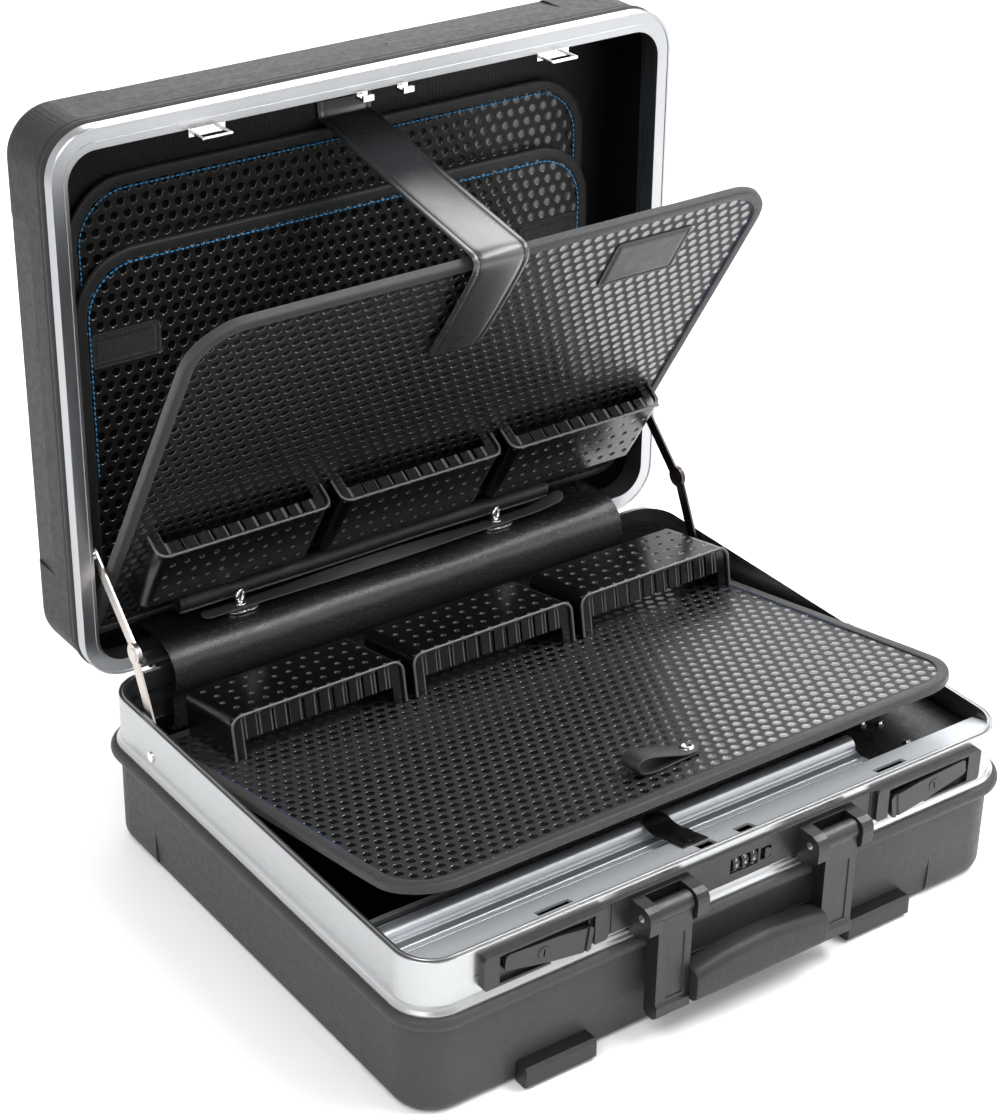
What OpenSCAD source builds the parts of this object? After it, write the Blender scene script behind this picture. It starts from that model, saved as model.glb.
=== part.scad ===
/* [Case outline] */
// Width over the outer faces of the aluminium rim
case_w = 466; // [440:1:490]
// Depth over the outer faces of the aluminium rim
case_d = 372; // [350:1:392]
// Corner radius of the rim's outer face
corner_r = 26; // [22:1:32]
// Height of the base rim above the ground
rim_z = 113; // [104:1:122]
// Height of the lid above the rim
lid_h = 66; // [62:1:74]
// Clear gap between the closed lid and the rim
lid_gap = 0.3; // [0.2:0.1:0.8]

/* [Base frame] */
// Wall thickness of the base frame
frame_t = 4; // [3:0.5:5]
// Height of the base frame
frame_h = 38; // [34:1:42]
// How far the lower lip of the base frame flares out
frame_lip = 3; // [2:0.2:3.4]
// Depth of the groove beside the rim's ridge
rim_groove = 1.6; // [0.8:0.1:2.4]
// Depth of the sloping strip behind the front rim
cover_d = 28; // [24:1:30]
// Distance of the front rail's ridge behind the front rim
ridge_d = 58; // [52:1:64]
// Drop of the ridge below the rim
ridge_drop = 10; // [9:0.5:14]
// Wall thickness of the front rail
rail_t = 1.8; // [1.4:0.1:2.4]

/* [Shells] */
// How far the rounded bead stands out from the rim's outer face
bead_out = 7.3; // [6.6:0.1:8]
// Height of the bead
bead_h = 9; // [7:0.5:11]
// Wall of the base shell beside the cut edges
shell_t = 3; // [2.5:0.5:4]
// Outward step of the corner pads past the slanted side panels
pad_step = 2.5; // [1.5:0.5:3]
// Height over which a side panel slants back
slant_h = 30; // [20:1:40]
// Length of a corner pad along each side
pad_len = 62; // [50:1:80]
// Radius along the outer bottom edge of a shell
edge_r = 9; // [6:1:12]
// Outward step of the lid shell wall from the rim's outer face
lid_out = 6; // [5:0.5:6.5]
// Wall of the lid shell beside the cut edges
lid_t = 3; // [2.5:0.5:3.5]

/* [Lid frame] */
// Width of the lid frame's flat face inside the rim's outer face
lid_face_in = 5.3; // [5:0.1:6]
// Width of the lid frame's flat face outside the rim's outer face
lid_face_out = 6.2; // [5.4:0.1:6.4]
// Extra width of the flat face along the front
lid_face_front = 2.8; // [1:0.2:4]
// Height of the lid frame's outer wall
lid_band_h = 8; // [6:0.5:9]
// Height of the lid frame's inner leg
lid_leg_h = 20; // [16:1:24]

/* [Lid hinge] */
// Distance of the hinge axis behind the rim's rear face
hinge_back = 5.8; // [5.2:0.1:6.4]
// Drop of the hinge axis below the rim
hinge_drop = 7.3; // [6.5:0.1:8.5]
// Angle the lid stands open
open_angle = 90.6; // [84:0.2:94]
// Outer radius of a hinge knuckle
knuckle_r = 4; // [3.4:0.1:4.4]
// Radius of a hinge pin
hinge_pin_r = 1.8; // [1.4:0.1:2.2]
// Length of one hinge
hinge_l = 84; // [60:2:100]
// Distance between neighbouring hinges
hinge_pitch = 150; // [130:2:160]
// Running clearance between pins and their bores
pin_fit = 0.08; // [0.05:0.01:0.1]

/* [Lid stays] */
// Length of a base arm between its centres
stay_a = 67.5; // [66:0.5:70]
// Length of a lid arm between its centres
stay_b = 71.5; // [70.5:0.5:74]
// Distance of the base pivot behind the middle of the case
stay_base_y = 125; // [120:1:128]
// Drop of the base pivot below the rim
stay_base_drop = 25; // [22:1:27]
// Distance of the lid pivot from the hinge axis along the lid
stay_lid_s = 93; // [90:0.5:95]
// Height of the lid pivot above the rim plane
stay_lid_h = 5.5; // [5:0.5:8]
// Thickness of an arm
stay_t = 1.5; // [1.2:0.1:1.6]
// Width of an arm
stay_w = 9; // [7:0.5:11]
// Radius of the round knee of an arm
stay_knee_r = 7.5; // [6.5:0.5:8.5]

/* [Latches] */
// Offset of the front fittings from the middle of the case
front_x = 6; // [0:0.5:8]
// Distance of a latch lever's axis from the side, along the front
latch_side = 78; // [75:1:83]
// Drop of the latch levers and number wheels below the rim
latch_drop = 17.5; // [17:0.5:18.5]
// Length of a lever
lever_l = 64; // [58:1:66]
// Distance from a lever's axis to its outer end
lever_tail = 28; // [24:1:30]
// Height of a lever's inner end
lever_h = 17; // [14:0.5:17.5]
// Thickness of a lever
lever_t = 3.6; // [2.8:0.2:4.4]
// Angle of a lever when it is open
lever_open = 8; // [5:1:9]
// How far the rim round a lever stands out of the strip
latch_rim = 3; // [2:0.2:3.6]
// Radius of a key core
core_r = 4.2; // [3.4:0.1:5]
// Radius of a lever shaft
shaft_r = 3; // [2.4:0.1:3.6]
// Height of the black lock strip
strip_h = 23; // [22:0.5:25]
// Thickness of the black lock strip
strip_t = 2.4; // [2:0.1:3]

/* [Number lock] */
// Radius of a number wheel
wheel_r = 7.4; // [6.8:0.1:8]
// Width of a number wheel
wheel_w = 4.8; // [4:0.1:5.4]
// Distance between neighbouring wheels
wheel_pitch = 7; // [6.4:0.1:8]
// Offset of the middle wheel from the middle of the case
wheel_x = 6; // [0:0.5:10]
// How far a wheel stands out of the strip
wheel_out = 1.2; // [0.8:0.1:1.6]
// Radius of the wheel axle
axle_r = 1.2; // [0.9:0.1:1.5]

/* [Carry handle] */
// Distance of a handle bracket from the middle of the front fittings
bracket_x = 66; // [62:1:68]
// Width of a handle arm
arm_w = 26; // [22:1:28]
// Width of a bracket cheek
cheek_w = 9; // [7:0.5:10]
// How far a bracket stands out of the strip
bracket_out = 20; // [18:0.5:23]
// Height of a bracket
bracket_h = 24; // [22:1:25]
// Length of a handle arm below its pivot
arm_l = 78; // [74:1:86]
// Thickness of a handle arm
arm_t = 11; // [9:0.5:12]
// Height of the padded grip
grip_h = 30; // [26:1:32]
// Thickness of the padded grip
grip_t = 17; // [15:0.5:18]
// How far the grip's upper edge drops towards its ends
grip_crown = 6; // [3:1:9]
// Side gap between an arm and its bracket
arm_gap = 0.6; // [0.4:0.1:1]

/* [Loops] */
// Offset of the wire loops from the middle of the case
loop_x = 3.5; // [0:0.5:6]
// Distance of a wire loop from the side, along the front
loop_side = 99.5; // [97:0.5:103]
// Width between the centres of a loop's legs
loop_w = 20; // [16:0.5:22]
// Depth of a loop below the lid frame
loop_d = 13; // [11:0.5:15]
// Radius of the loop wire
loop_r = 1.1; // [0.9:0.1:1.3]

/* [Tool boards] */
// Distance of a tool board's side edge from the rim's outer face
board_side = 11; // [10.6:0.2:17]
// Thickness of a board
board_t = 4; // [3:0.5:4.5]
// Corner radius of a board's free corners
board_r = 38; // [28:1:46]
// Length of the lid board
lid_board_l = 338; // [330:1:346]
// Lean of the lid board out of the open lid
lid_board_lean = 30.9; // [24:0.5:34]
// Length of the base board
base_board_l = 315; // [300:1:318]
// Rise of the base board towards its front
base_board_rise = 11; // [8:0.5:13]
// Distance of the base board's axis behind the middle of the case
base_board_y = 150; // [146:1:154]
// Drop of the base board's axis below the rim
base_board_drop = 32.5; // [31:0.5:36]
// Width of the edge binding
bind_w = 7; // [5:0.5:9]
// Thickness of the binding on each face
bind_t = 1.2; // [0.8:0.1:1.5]

/* [Tool holders] */
// Gap between neighbouring holders
holder_gap = 8; // [6:1:16]
// Room beside the row of holders on the board
holder_margin = 12; // [10:0.5:14]
// Wall thickness of a holder
holder_t = 2; // [1.6:0.1:2.4]
// Depth of a base holder along the board
base_holder_d = 62; // [56:1:66]
// Height of a base holder above the board
base_holder_h = 31; // [24:1:31]
// Depth of a lid holder along the board
lid_holder_d = 61; // [56:1:66]
// Height of a lid holder above the board
lid_holder_h = 19; // [15:1:19]
// Number of fingers in a holder's comb
fingers = 10; // [6:1:12]
// Width of a slot between two fingers
finger_gap = 1.8; // [1.4:0.1:2.4]
// Radius of the small holes in a holder's plate
perf_r = 1.5; // [1:0.1:1.8]

/* [Dividers] */
// Offset of the leather tab from the middle of the case
tab_x = -19; // [-30:1:30]
// Width of the leather tab
tab_w = 20; // [14:1:30]

/* [Pockets and strap] */
// Thickness of a pocket board
pocket_t = 2.5; // [2:0.1:2.6]
// Distance of a pocket board's side edge from the rim's outer face
pocket_side = 28; // [21:1:38]
// Height of the front pocket
front_pocket_h = 256; // [236:1:262]
// Height of the rear pocket
rear_pocket_h = 304; // [290:1:306]
// Width of the holding strap
strap_w = 42; // [34:1:48]
// Thickness of the holding strap
strap_t = 1.6; // [1.2:0.1:1.8]

/* [Hidden] */
$fa = 4;
$fs = 0.6;

eps = 0.01;
hx = case_w / 2;
hy = case_d / 2;
seat = 0.3;
shell_in = 0.5 - pad_step - shell_t;
frame_z = rim_z - frame_h;
bead_z = frame_z - bead_h;
floor_z = pad_step + shell_t;
lid_z0 = rim_z + lid_gap;
lid_z1 = rim_z + lid_h;
lid_in = lid_out - pad_step - lid_t;
lid_ceiling = lid_z1 - pad_step - lid_t;
lid_bead_z = lid_z0 + lid_band_h;
hinge_y = hy + hinge_back;
hinge_z = rim_z - hinge_drop;

latch_x = hx - latch_side;
loop_half = hx - loop_side;
lever_z = rim_z - latch_drop;
strip_z = lever_z;
strip_hx = latch_x + 42;
strip_y = -hy - strip_t;
lever_off = 0.4;
foot_x = -8;
wheel_y = strip_y - wheel_out + wheel_r;
pin_y = strip_y - 11;
pin_z = rim_z - 17;
pin_r = 2.5;

rod_r = 2;
board_set = 4.4;
board_z_lid = rim_z + 36;
board_y_lid = hy - 8;
board_y_base = base_board_y;
board_z_base = rim_z - base_board_drop;
board_hw = hx - board_side;
holder_pitch = 2 * (board_hw - holder_margin) / 3;
holder_w = holder_pitch - holder_gap;
holder_x = holder_margin - bind_w + holder_gap / 2 - 0.3;
lid_holder_x = holder_x - 4.7;
comb_set = 1.6;
rod_hw = board_hw - 54;
rod_bracket_x = rod_hw - 18;
knuckle_x = rod_hw - 76;
lid_holder_s = 57;
base_holder_s = 14;

arm_outer = hx - lid_face_in - 0.7;
stay_gap = 0.3;
stay_rivet_r = 2.2;

pocket_hw = hx - pocket_side;
front_pocket_z = lid_ceiling - 13;
rear_pocket_z = lid_ceiling - 6;
pocket_y = hy - 18;
strap_y = -hy + 46;
strap_z = lid_ceiling - 13;
strap_x = 8;
clip_x = -9;

ridge_y = -hy + ridge_d;
ridge_z = rim_z - ridge_drop;
ridge_r = 6;
rail_x0 = -hx - shell_in + 1;
rail_x1 = hx - 87;
divider_y = ridge_y + 34;
divider_z = rim_z - 34;
tab_start = 15;

// The outline of a rounded rectangle with its own front and rear radii
module plate2(ax, ay, rf, rb) {
  union() {
    translate([-ax + rf, -ay]) square([2 * ax - 2 * rf, ay]);
    translate([-ax, -ay + rf]) square([2 * ax, 2 * ay - rf - rb]);
    translate([-ax + rb, 0]) square([2 * ax - 2 * rb, ay]);
    for (sx = [-1, 1]) {
      translate([sx * (ax - rf), -ay + rf]) circle(r = rf);
      translate([sx * (ax - rb), ay - rb]) circle(r = rb);
    }
  }
}

// A section carried once round a rounded rectangle, x = 0 being the outline and +x outwards
module ring(ax, ay, rf, rb) {
  for (s = [-1, 1]) {
    translate([s * ax, 0, 0]) rotate([90, 0, 0]) translate([0, 0, -(ay - rb)])
      linear_extrude(height = 2 * ay - rf - rb) mirror([s < 0 ? 1 : 0, 0]) children();
    translate([s * (ax - rf), -ay + rf, 0]) rotate([0, 0, s > 0 ? -90 : 180])
      rotate_extrude(angle = 90) translate([rf, 0]) children();
    translate([s * (ax - rb), ay - rb, 0]) rotate([0, 0, s > 0 ? 0 : 90])
      rotate_extrude(angle = 90) translate([rb, 0]) children();
  }
  translate([-ax + rf, -ay, 0]) rotate([90, 0, 90])
    linear_extrude(height = 2 * ax - 2 * rf) mirror([1, 0]) children();
  translate([-ax + rb, ay, 0]) rotate([90, 0, 90])
    linear_extrude(height = 2 * ax - 2 * rb) children();
}

module rbox(x0, x1, y0, y1, z0, z1, r) {
  translate([x0 + r, y0, z0]) cube([x1 - x0 - 2 * r, y1 - y0, z1 - z0]);
  translate([x0, y0 + r, z0]) cube([x1 - x0, y1 - y0 - 2 * r, z1 - z0]);
  for (x = [x0 + r, x1 - r], y = [y0 + r, y1 - r])
    translate([x, y, z0]) cylinder(r = r, h = z1 - z0);
}

module box(x0, x1, y0, y1, z0, z1) {
  translate([x0, y0, z0]) cube([x1 - x0, y1 - y0, z1 - z0]);
}

module opened() {
  translate([0, hinge_y, hinge_z]) rotate([-open_angle, 0, 0])
    translate([0, -hinge_y, -hinge_z]) children();
}

// Points of an arc from angle a0 to a1 about a centre
function arc(cx, cy, r, a0, a1, n) =
  [for (i = [0:n]) [cx + r * cos(a0 + (a1 - a0) * i / n), cy + r * sin(a0 + (a1 - a0) * i / n)]];

// Wall of a shell: outer face at out, bead on top, rounded lower edge
module shell_section(out, inner, height, bead0, bead1, bead, floor_t) {
  r = (bead1 - bead0) / 2;
  polygon(concat(
    [[inner, bead1], [inner, floor_t], [inner - 14, floor_t], [inner - 14, 0]],
    arc(out - edge_r, edge_r, edge_r, -90, 0, 6),
    [[out, bead0 - 2]],
    arc(bead - r, bead0 + r, r, -60, 90, 8)));
}

// The slanted cuts along the middle of each side of a shell
module side_slants(out) {
  a = atan2(pad_step, slant_h);
  for (s = [-1, 1]) {
    translate([s * (hx + out), -hy + pad_len, slant_h]) mirror([s < 0 ? 1 : 0, 0, 0])
      rotate([0, a, 0]) translate([0, 0, -slant_h - 20])
      cube([20, case_d - 2 * pad_len, slant_h + 20]);
    translate([-hx + pad_len, s * (hy + out), slant_h]) mirror([0, s < 0 ? 1 : 0, 0])
      rotate([-a, 0, 0]) translate([0, 0, -slant_h - 20])
      cube([case_w - 2 * pad_len, 20, slant_h + 20]);
  }
}

module base_shell() {
  color("dimgray") difference() {
    union() {
      ring(hx, hy, corner_r, corner_r)
        shell_section(0.5, shell_in, frame_z, bead_z, frame_z, bead_out, floor_z);
      linear_extrude(height = floor_z)
        plate2(hx - 15, hy - 15, corner_r - 15, corner_r - 15);
    }
    side_slants(0.5);
  }
}

module base_frame() {
  color("silver") difference() {
    ring(hx, hy, corner_r, corner_r)
      polygon([[-frame_t, frame_z], [frame_lip, frame_z], [frame_lip, frame_z + 1.6],
        [frame_lip - 1.4, frame_z + 3.4], [0.8, frame_z + 5], [0, frame_z + 6.2],
        [0, rim_z - 1], [-0.3, rim_z - 0.7], [-1.2, rim_z - 0.7], [-1.2, rim_z - rim_groove],
        [-2.2, rim_z - rim_groove], [-2.2, rim_z - 0.3], [-2.5, rim_z], [-frame_t, rim_z]]);
    for (s = [-1, 1]) {
      translate([front_x + s * latch_x, -hy - 1, lever_z]) rotate([-90, 0, 0])
        cylinder(r = shaft_r + pin_fit, h = frame_t + 2);
      translate([s * (hx - frame_t - 1), stay_base_y, rim_z - stay_base_drop]) rotate([0, s * 90, 0])
        cylinder(r = stay_rivet_r, h = frame_t + 2);
    }
    box(wheel_x - 14, wheel_x + 23, -hy - 1, -hy + frame_t + 1, strip_z - 9.4, strip_z + 8.4);
  }
}

// Point of the strip's upper face at a depth behind the front rim
function strip_top(d) = rim_z - 1.6 - (d - frame_t) * 0.27;

// Aluminium rail behind the front rim: slotted strip, groove, hollow band, round ridge, ribbed rear wall
// Space inside the frame with its rounded corners
module rail_room() {
  g = frame_t + 0.1;
  linear_extrude(height = rim_z) plate2(hx - g, hy - g, corner_r - g, corner_r - g);
}

module front_rail() {
  t = rail_t;
  y0 = -hy + frame_t;
  y1 = -hy + cover_d;
  z1 = strip_top(cover_d);
  yr = ridge_y;
  zr = ridge_z - ridge_r;
  ym = (y1 + 2 + yr - ridge_r) / 2;
  w = (yr - ridge_r - y1 - 2) / 2;
  outer = concat([[y0, rim_z - 1.6], [y1, z1], [y1, z1 - 1.8], [y1 + 2, z1 - 1.8]],
    [for (k = [1:9]) [ym - w * cos(18 * k), z1 - 1.8 - (z1 - 1.8 - zr) * k / 10 - 5 * sin(18 * k)]],
    arc(yr, zr, ridge_r, 180, 0, 10));
  inner = concat(arc(yr, zr, ridge_r - t, 0, 180, 10),
    [for (k = [9:-1:1]) [ym - w * cos(18 * k), z1 - 1.8 - t - (z1 - 1.8 - zr) * k / 10 - 5 * sin(18 * k)]],
    [[y1 + 1, z1 - 1.8 - t], [y1 - t, z1 - 1.8 - t], [y1 - t, z1 - 0.9 * t], [y0, rim_z - 1.6 - t]]);
  color("silver") intersection() {
    rail_room();
    difference() {
      union() {
        translate([rail_x0, 0, 0]) rotate([90, 0, 90])
          linear_extrude(height = rail_x1 - rail_x0) union() {
            polygon(concat(outer, inner));
            translate([yr + ridge_r - t, floor_z]) square([t, zr - floor_z]);
            translate([yr + ridge_r - t - 3, floor_z]) square([3 + t, 2]);
            for (k = [1:6]) translate([yr + ridge_r, zr - 12 * k]) circle(r = 1.2);
          }
        // The strip alone goes on in front of the black corner box
        translate([rail_x1 - 1, 0, 0]) rotate([90, 0, 90])
          linear_extrude(height = 1 - rail_x0 - rail_x1)
          polygon([[y0, rim_z - 1.6], [y1, z1], [y1, z1 - t - 3], [y1 - t, z1 - t - 3],
            [y1 - t, z1 - t], [y0, rim_z - 1.6 - t]]);
      }
      loop_slots();
    }
  }
}

// Openings for the wire loops and hooks of the closed lid
module loop_slots() {
  for (s = [-1, 1]) {
    translate([loop_x + s * loop_half, -hy + 11, rim_z - 16])
      linear_extrude(height = 18) square([loop_w + 5, 6], center = true);
    translate([s * 15.5, -hy + 10.4, rim_z - 16]) linear_extrude(height = 18)
      square([13, 8], center = true);
  }
}

// Front wall of the base shell at a height within its slanted panel
function foot_y(z) = -hy - 0.5 + pad_step * (1 - z / slant_h) - 0.2;

module front_feet() {
  color("black") for (s = [-1, 1]) translate([foot_x + s * (hx - 105), 0, 0]) {
    rotate([90, 0, 90]) translate([0, 0, -26]) linear_extrude(height = 52)
      polygon([[foot_y(16), 16], [-hy - 8.5, 16], [-hy - 10.5, 14], [-hy - 10.5, 3],
        [-hy - 8.5, 1], [foot_y(edge_r), 1], [foot_y(edge_r), edge_r]]);
  }
}

// The black strip in the front of the frame, with lever windows and the wheel window
module lock_strip() {
  color("black") difference() {
    union() {
      translate([front_x, -hy, 0]) rotate([90, 0, 0]) linear_extrude(height = strip_t)
        translate([0, strip_z]) plate2(strip_hx, strip_h / 2, 2.5, 2.5);
      for (s = [-1, 1]) translate([front_x + s * latch_x, strip_y + eps, lever_z])
        mirror([s > 0 ? 1 : 0, 0, 0]) rotate([90, 0, 0]) linear_extrude(height = latch_rim)
        difference() {
          translate([3, 0]) plate2(45, strip_h / 2, 2.5, 2.5);
          translate([-lever_tail - 3, -lever_h / 2 - 1.2])
            square([lever_l + 5, lever_h + 2.4]);
          translate([6, -strip_h]) square([lever_l - lever_tail - 4, strip_h]);
        }
    }
    for (s = [-1, 1]) {
      translate([front_x + s * latch_x, -hy + 1, lever_z]) rotate([90, 0, 0])
        cylinder(r = shaft_r + pin_fit, h = strip_t + 2);
      translate([front_x + s * (latch_x - 24) - 11, strip_y - eps, strip_z - 4])
        cube([22, 1.2, lever_h / 2 + 3]);
      translate([front_x + s * (latch_x - 52) - 0.3, strip_y - 1, strip_z - strip_h])
        cube([0.6, 1.6, 2 * strip_h]);
    }
    box(wheel_x - 11, wheel_x + 11, strip_y - 1, strip_y + 0.9, strip_z - 5.6, strip_z + 5.6);
    box(wheel_x - 11, wheel_x + 11, strip_y + 0.8, -hy + 1, strip_z - 6.8, strip_z + 6.8);
    box(wheel_x + 13, wheel_x + 21.5, strip_y - 1, -hy + 1, strip_z - 4.4, strip_z + 4.4);
  }
}

// Box behind the strip that carries the wheel axle and the release slide
module lock_works() {
  y1 = -hy + 15.8;
  color("darkgray") difference() {
    box(wheel_x - 13.7, wheel_x + 22.7, -hy, y1, strip_z - 9, strip_z + 5.7);
    box(wheel_x - 11, wheel_x + 11, -hy - 1, y1 - 1.4, strip_z - 8.2, strip_z + 6);
    box(wheel_x + 12.5, wheel_x + 21.5, -hy - 1, -hy + 5, strip_z - 4.4, strip_z + 4.4);
  }
  color("gray") translate([wheel_x - 11.5, wheel_y, strip_z]) rotate([0, 90, 0])
    cylinder(r = axle_r, h = 23);
}

module number_wheel(i) {
  color("silver") translate([wheel_x + (i - 2) * wheel_pitch - wheel_w / 2, wheel_y, strip_z])
    rotate([0, 90, 0]) difference() {
      cylinder(r = wheel_r, h = wheel_w);
      translate([0, 0, -1]) cylinder(r = axle_r + pin_fit, h = wheel_w + 2);
      for (k = [0:9]) rotate([0, 0, 18 + 36 * k]) translate([wheel_r + 0.3, 0, -1])
        cylinder(r = 0.8, h = wheel_w + 2);
    }
}

module release_slide() {
  color("dimgray") translate([wheel_x + 17.6, strip_y - 0.9, strip_z]) rotate([-90, 0, 0])
    difference() {
      union() {
        cylinder(r = 3.6, h = strip_t + 0.9 - 0.2);
        translate([-1.8, -3.2, strip_t]) cube([3.6, 6.4, 4]);
      }
      translate([-5.6, -4, -1]) cube([4, 8, strip_t + 2]);
    }
}

// A lever turns about its key core in the plane of the strip
module latch_lever(s) {
  l1 = lever_l - lever_tail;
  h = lever_h / 2;
  color("dimgray") translate([front_x + s * latch_x, strip_y, lever_z]) rotate([0, -s * lever_open, 0])
    mirror([s > 0 ? 1 : 0, 0, 0]) difference() {
      union() {
        translate([0, -lever_off, 0]) rotate([90, 0, 0]) linear_extrude(height = lever_t)
          polygon([[-lever_tail, -4], [-lever_tail + 2, -5.5], [6, -h + 0.4], [l1 - 1.5, -h],
            [l1, -h + 1.5], [l1, h - 1.5], [l1 - 1.5, h], [10, h], [-lever_tail + 2, 5.5],
            [-lever_tail, 4]]);
        translate([0, -lever_off - 1, 0]) rotate([-90, 0, 0])
          cylinder(r = shaft_r, h = lever_off + strip_t + frame_t + 9);
        translate([0, strip_t + frame_t + 1.2, 0]) rotate([-90, 0, 0]) cylinder(r = shaft_r + 3, h = 3);
        translate([-2.5, strip_t + frame_t + 4.4, 0]) cube([5, 2.6, 9]);
      }
      translate([0, -lever_off - lever_t - 1, 0]) rotate([-90, 0, 0])
        cylinder(r = core_r + pin_fit, h = lever_t - 0.4);
      translate([l1 - 5, -lever_off - lever_t - 1, -lever_h]) rotate([0, 0, 20])
        cube([2, 1.6, 2 * lever_h]);
    }
}

module key_core(s) {
  color("silver") translate([front_x + s * latch_x, strip_y, lever_z]) rotate([0, -s * lever_open, 0])
    difference() {
      translate([0, -lever_off - lever_t - 0.3, 0]) rotate([-90, 0, 0]) cylinder(r = core_r, h = 2.4);
      translate([-0.5, -lever_off - lever_t - 1, -2.6]) cube([1, 2.2, 5.2]);
    }
}

module handle_brackets() {
  w = arm_w / 2 + arm_gap;
  y1 = strip_y - bracket_out;
  z0 = pin_z - bracket_h + 8;
  color("black") for (s = [-1, 1]) translate([front_x + s * bracket_x, 0, 0]) difference() {
    rotate([90, 0, 90]) translate([0, 0, -w - cheek_w]) linear_extrude(height = 2 * (w + cheek_w))
      polygon([[strip_y, z0], [strip_y, pin_z + 8], [y1 + 7, pin_z + 8], [y1 + 2.5, pin_z + 6.6],
        [y1 + 0.5, pin_z + 3.4], [y1, pin_z], [y1 + 0.5, pin_z - 9], [y1 + 3.5, pin_z - 12],
        [strip_y - 8, z0]]);
    box(-w, w, y1 - 1, strip_y - 1.6, z0 - 1, pin_z + 9);
    translate([-w - cheek_w - 1, pin_y, pin_z]) rotate([0, 90, 0])
      cylinder(r = pin_r, h = 2 * (w + cheek_w) + 2);
  }
}

module handle_pins() {
  w = arm_w / 2 + arm_gap + cheek_w;
  color("gray") for (s = [-1, 1]) translate([front_x + s * bracket_x - w, pin_y, pin_z]) rotate([0, 90, 0])
    cylinder(r = pin_r, h = 2 * w);
}

module carry_handle() {
  y1 = pin_y - arm_t / 2;
  x_in = bracket_x - arm_w / 2;
  color("dimgray") translate([front_x, 0, 0]) {
    for (s = [-1, 1]) translate([s * bracket_x, 0, 0]) difference() {
      union() {
        translate([-arm_w / 2, pin_y, pin_z]) rotate([0, 90, 0]) cylinder(r = 6.6, h = arm_w);
        box(-arm_w / 2, arm_w / 2, y1, y1 + arm_t, pin_z - arm_l + 3, pin_z);
        rotate([90, 0, 90]) translate([0, 0, -arm_w / 2]) linear_extrude(height = arm_w)
          polygon([[y1, pin_z - arm_l + 12], [y1 - 1.6, pin_z - arm_l + 10], [y1 - 1.6, pin_z - arm_l + 3],
            [y1 + 2, pin_z - arm_l], [y1 + arm_t - 3, pin_z - arm_l], [y1 + arm_t, pin_z - arm_l + 3],
            [y1 + arm_t, pin_z - arm_l + 12]]);
      }
      translate([-arm_w / 2 - 1, pin_y, pin_z]) rotate([0, 90, 0])
        cylinder(r = pin_r + pin_fit, h = arm_w + 2);
      box(-5, 7.5, y1 - 1, y1 + 0.7, pin_z - arm_l + 14, pin_z - 18);
    }
    box(-x_in, x_in, pin_y + arm_t / 2 - 2.4, pin_y + arm_t / 2, pin_z - arm_l + 10, pin_z - arm_l + 32);
  }
}

module handle_grip() {
  x_in = bracket_x - arm_w / 2;
  z0 = pin_z - arm_l + 6;
  yb = pin_y + arm_t / 2 - 2.4;
  r = 6;
  n = 12;
  color("black") translate([front_x, 0, 0]) intersection() {
    translate([-x_in, 0, 0]) rotate([90, 0, 90]) linear_extrude(height = 2 * x_in) union() {
      translate([yb - grip_t + r, z0]) square([grip_t - r, grip_h]);
      translate([yb - grip_t, z0 + r]) square([r, grip_h - 2 * r]);
      translate([yb - grip_t + r, z0 + r]) circle(r = r);
      translate([yb - grip_t + r, z0 + grip_h - r]) circle(r = r);
    }
    translate([0, yb, 0]) rotate([90, 0, 0]) linear_extrude(height = grip_t + 1)
      polygon(concat([[-x_in, z0 - 1]], [for (k = [0:n]) [-x_in + 2 * x_in * k / n,
        z0 + grip_h - grip_crown * pow(abs(2 * k / n - 1), 2)]], [[x_in, z0 - 1]]));
  }
}

module knuckle(x0, x1) {
  translate([x0, hinge_y, hinge_z]) rotate([0, 90, 0]) difference() {
    cylinder(r = knuckle_r, h = x1 - x0);
    translate([0, 0, -1]) cylinder(r = hinge_pin_r + pin_fit, h = x1 - x0 + 2);
  }
}

// Outer knuckles and a leaf on the rear face of the base frame
module hinge_leaves_base() {
  k = hinge_l / 5;
  color("gray") for (i = [-1:1]) translate([i * hinge_pitch, 0, 0]) difference() {
    union() {
      for (j = [0, 2, 4]) {
        translate([-hinge_l / 2 + j * k + 0.2, hy, hinge_z - 14]) cube([k - 0.4, 1.5, 14]);
        translate([-hinge_l / 2 + j * k + 0.2, hy, hinge_z - 1.2])
          cube([k - 0.4, hinge_back - hinge_pin_r - 0.6, 2.4]);
      }
      box(-hinge_l / 2 + 0.2, hinge_l / 2 - 0.2, hy, hy + 1.5, hinge_z - 22, hinge_z - knuckle_r - 1.6);
      for (j = [0, 2, 4]) knuckle(-hinge_l / 2 + j * k + 0.2, -hinge_l / 2 + (j + 1) * k - 0.2);
    }
    translate([-hinge_l, hinge_y, hinge_z]) rotate([0, 90, 0])
      cylinder(r = hinge_pin_r, h = 2 * hinge_l);
  }
}

// Middle knuckles and a leaf under the lid frame's rear edge
module hinge_leaves_lid() {
  k = hinge_l / 5;
  y1 = hy + lid_face_out;
  color("gray") opened() for (i = [-1:1]) translate([i * hinge_pitch, 0, 0]) difference() {
    union() {
      for (j = [1, 3]) {
        knuckle(-hinge_l / 2 + j * k + 0.2, -hinge_l / 2 + (j + 1) * k - 0.2);
        box(-hinge_l / 2 + j * k + 0.2, -hinge_l / 2 + (j + 1) * k - 0.2, y1, y1 + 1.5,
          hinge_z, lid_z0 + 2);
      }
      box(-hinge_l / 2 + 0.2, hinge_l / 2 - 0.2, y1, y1 + 1.5, lid_z0, lid_z0 + lid_band_h - 0.5);
    }
    translate([-hinge_l, hinge_y, hinge_z]) rotate([0, 90, 0])
      cylinder(r = hinge_pin_r + pin_fit, h = 2 * hinge_l);
  }
}

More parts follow.
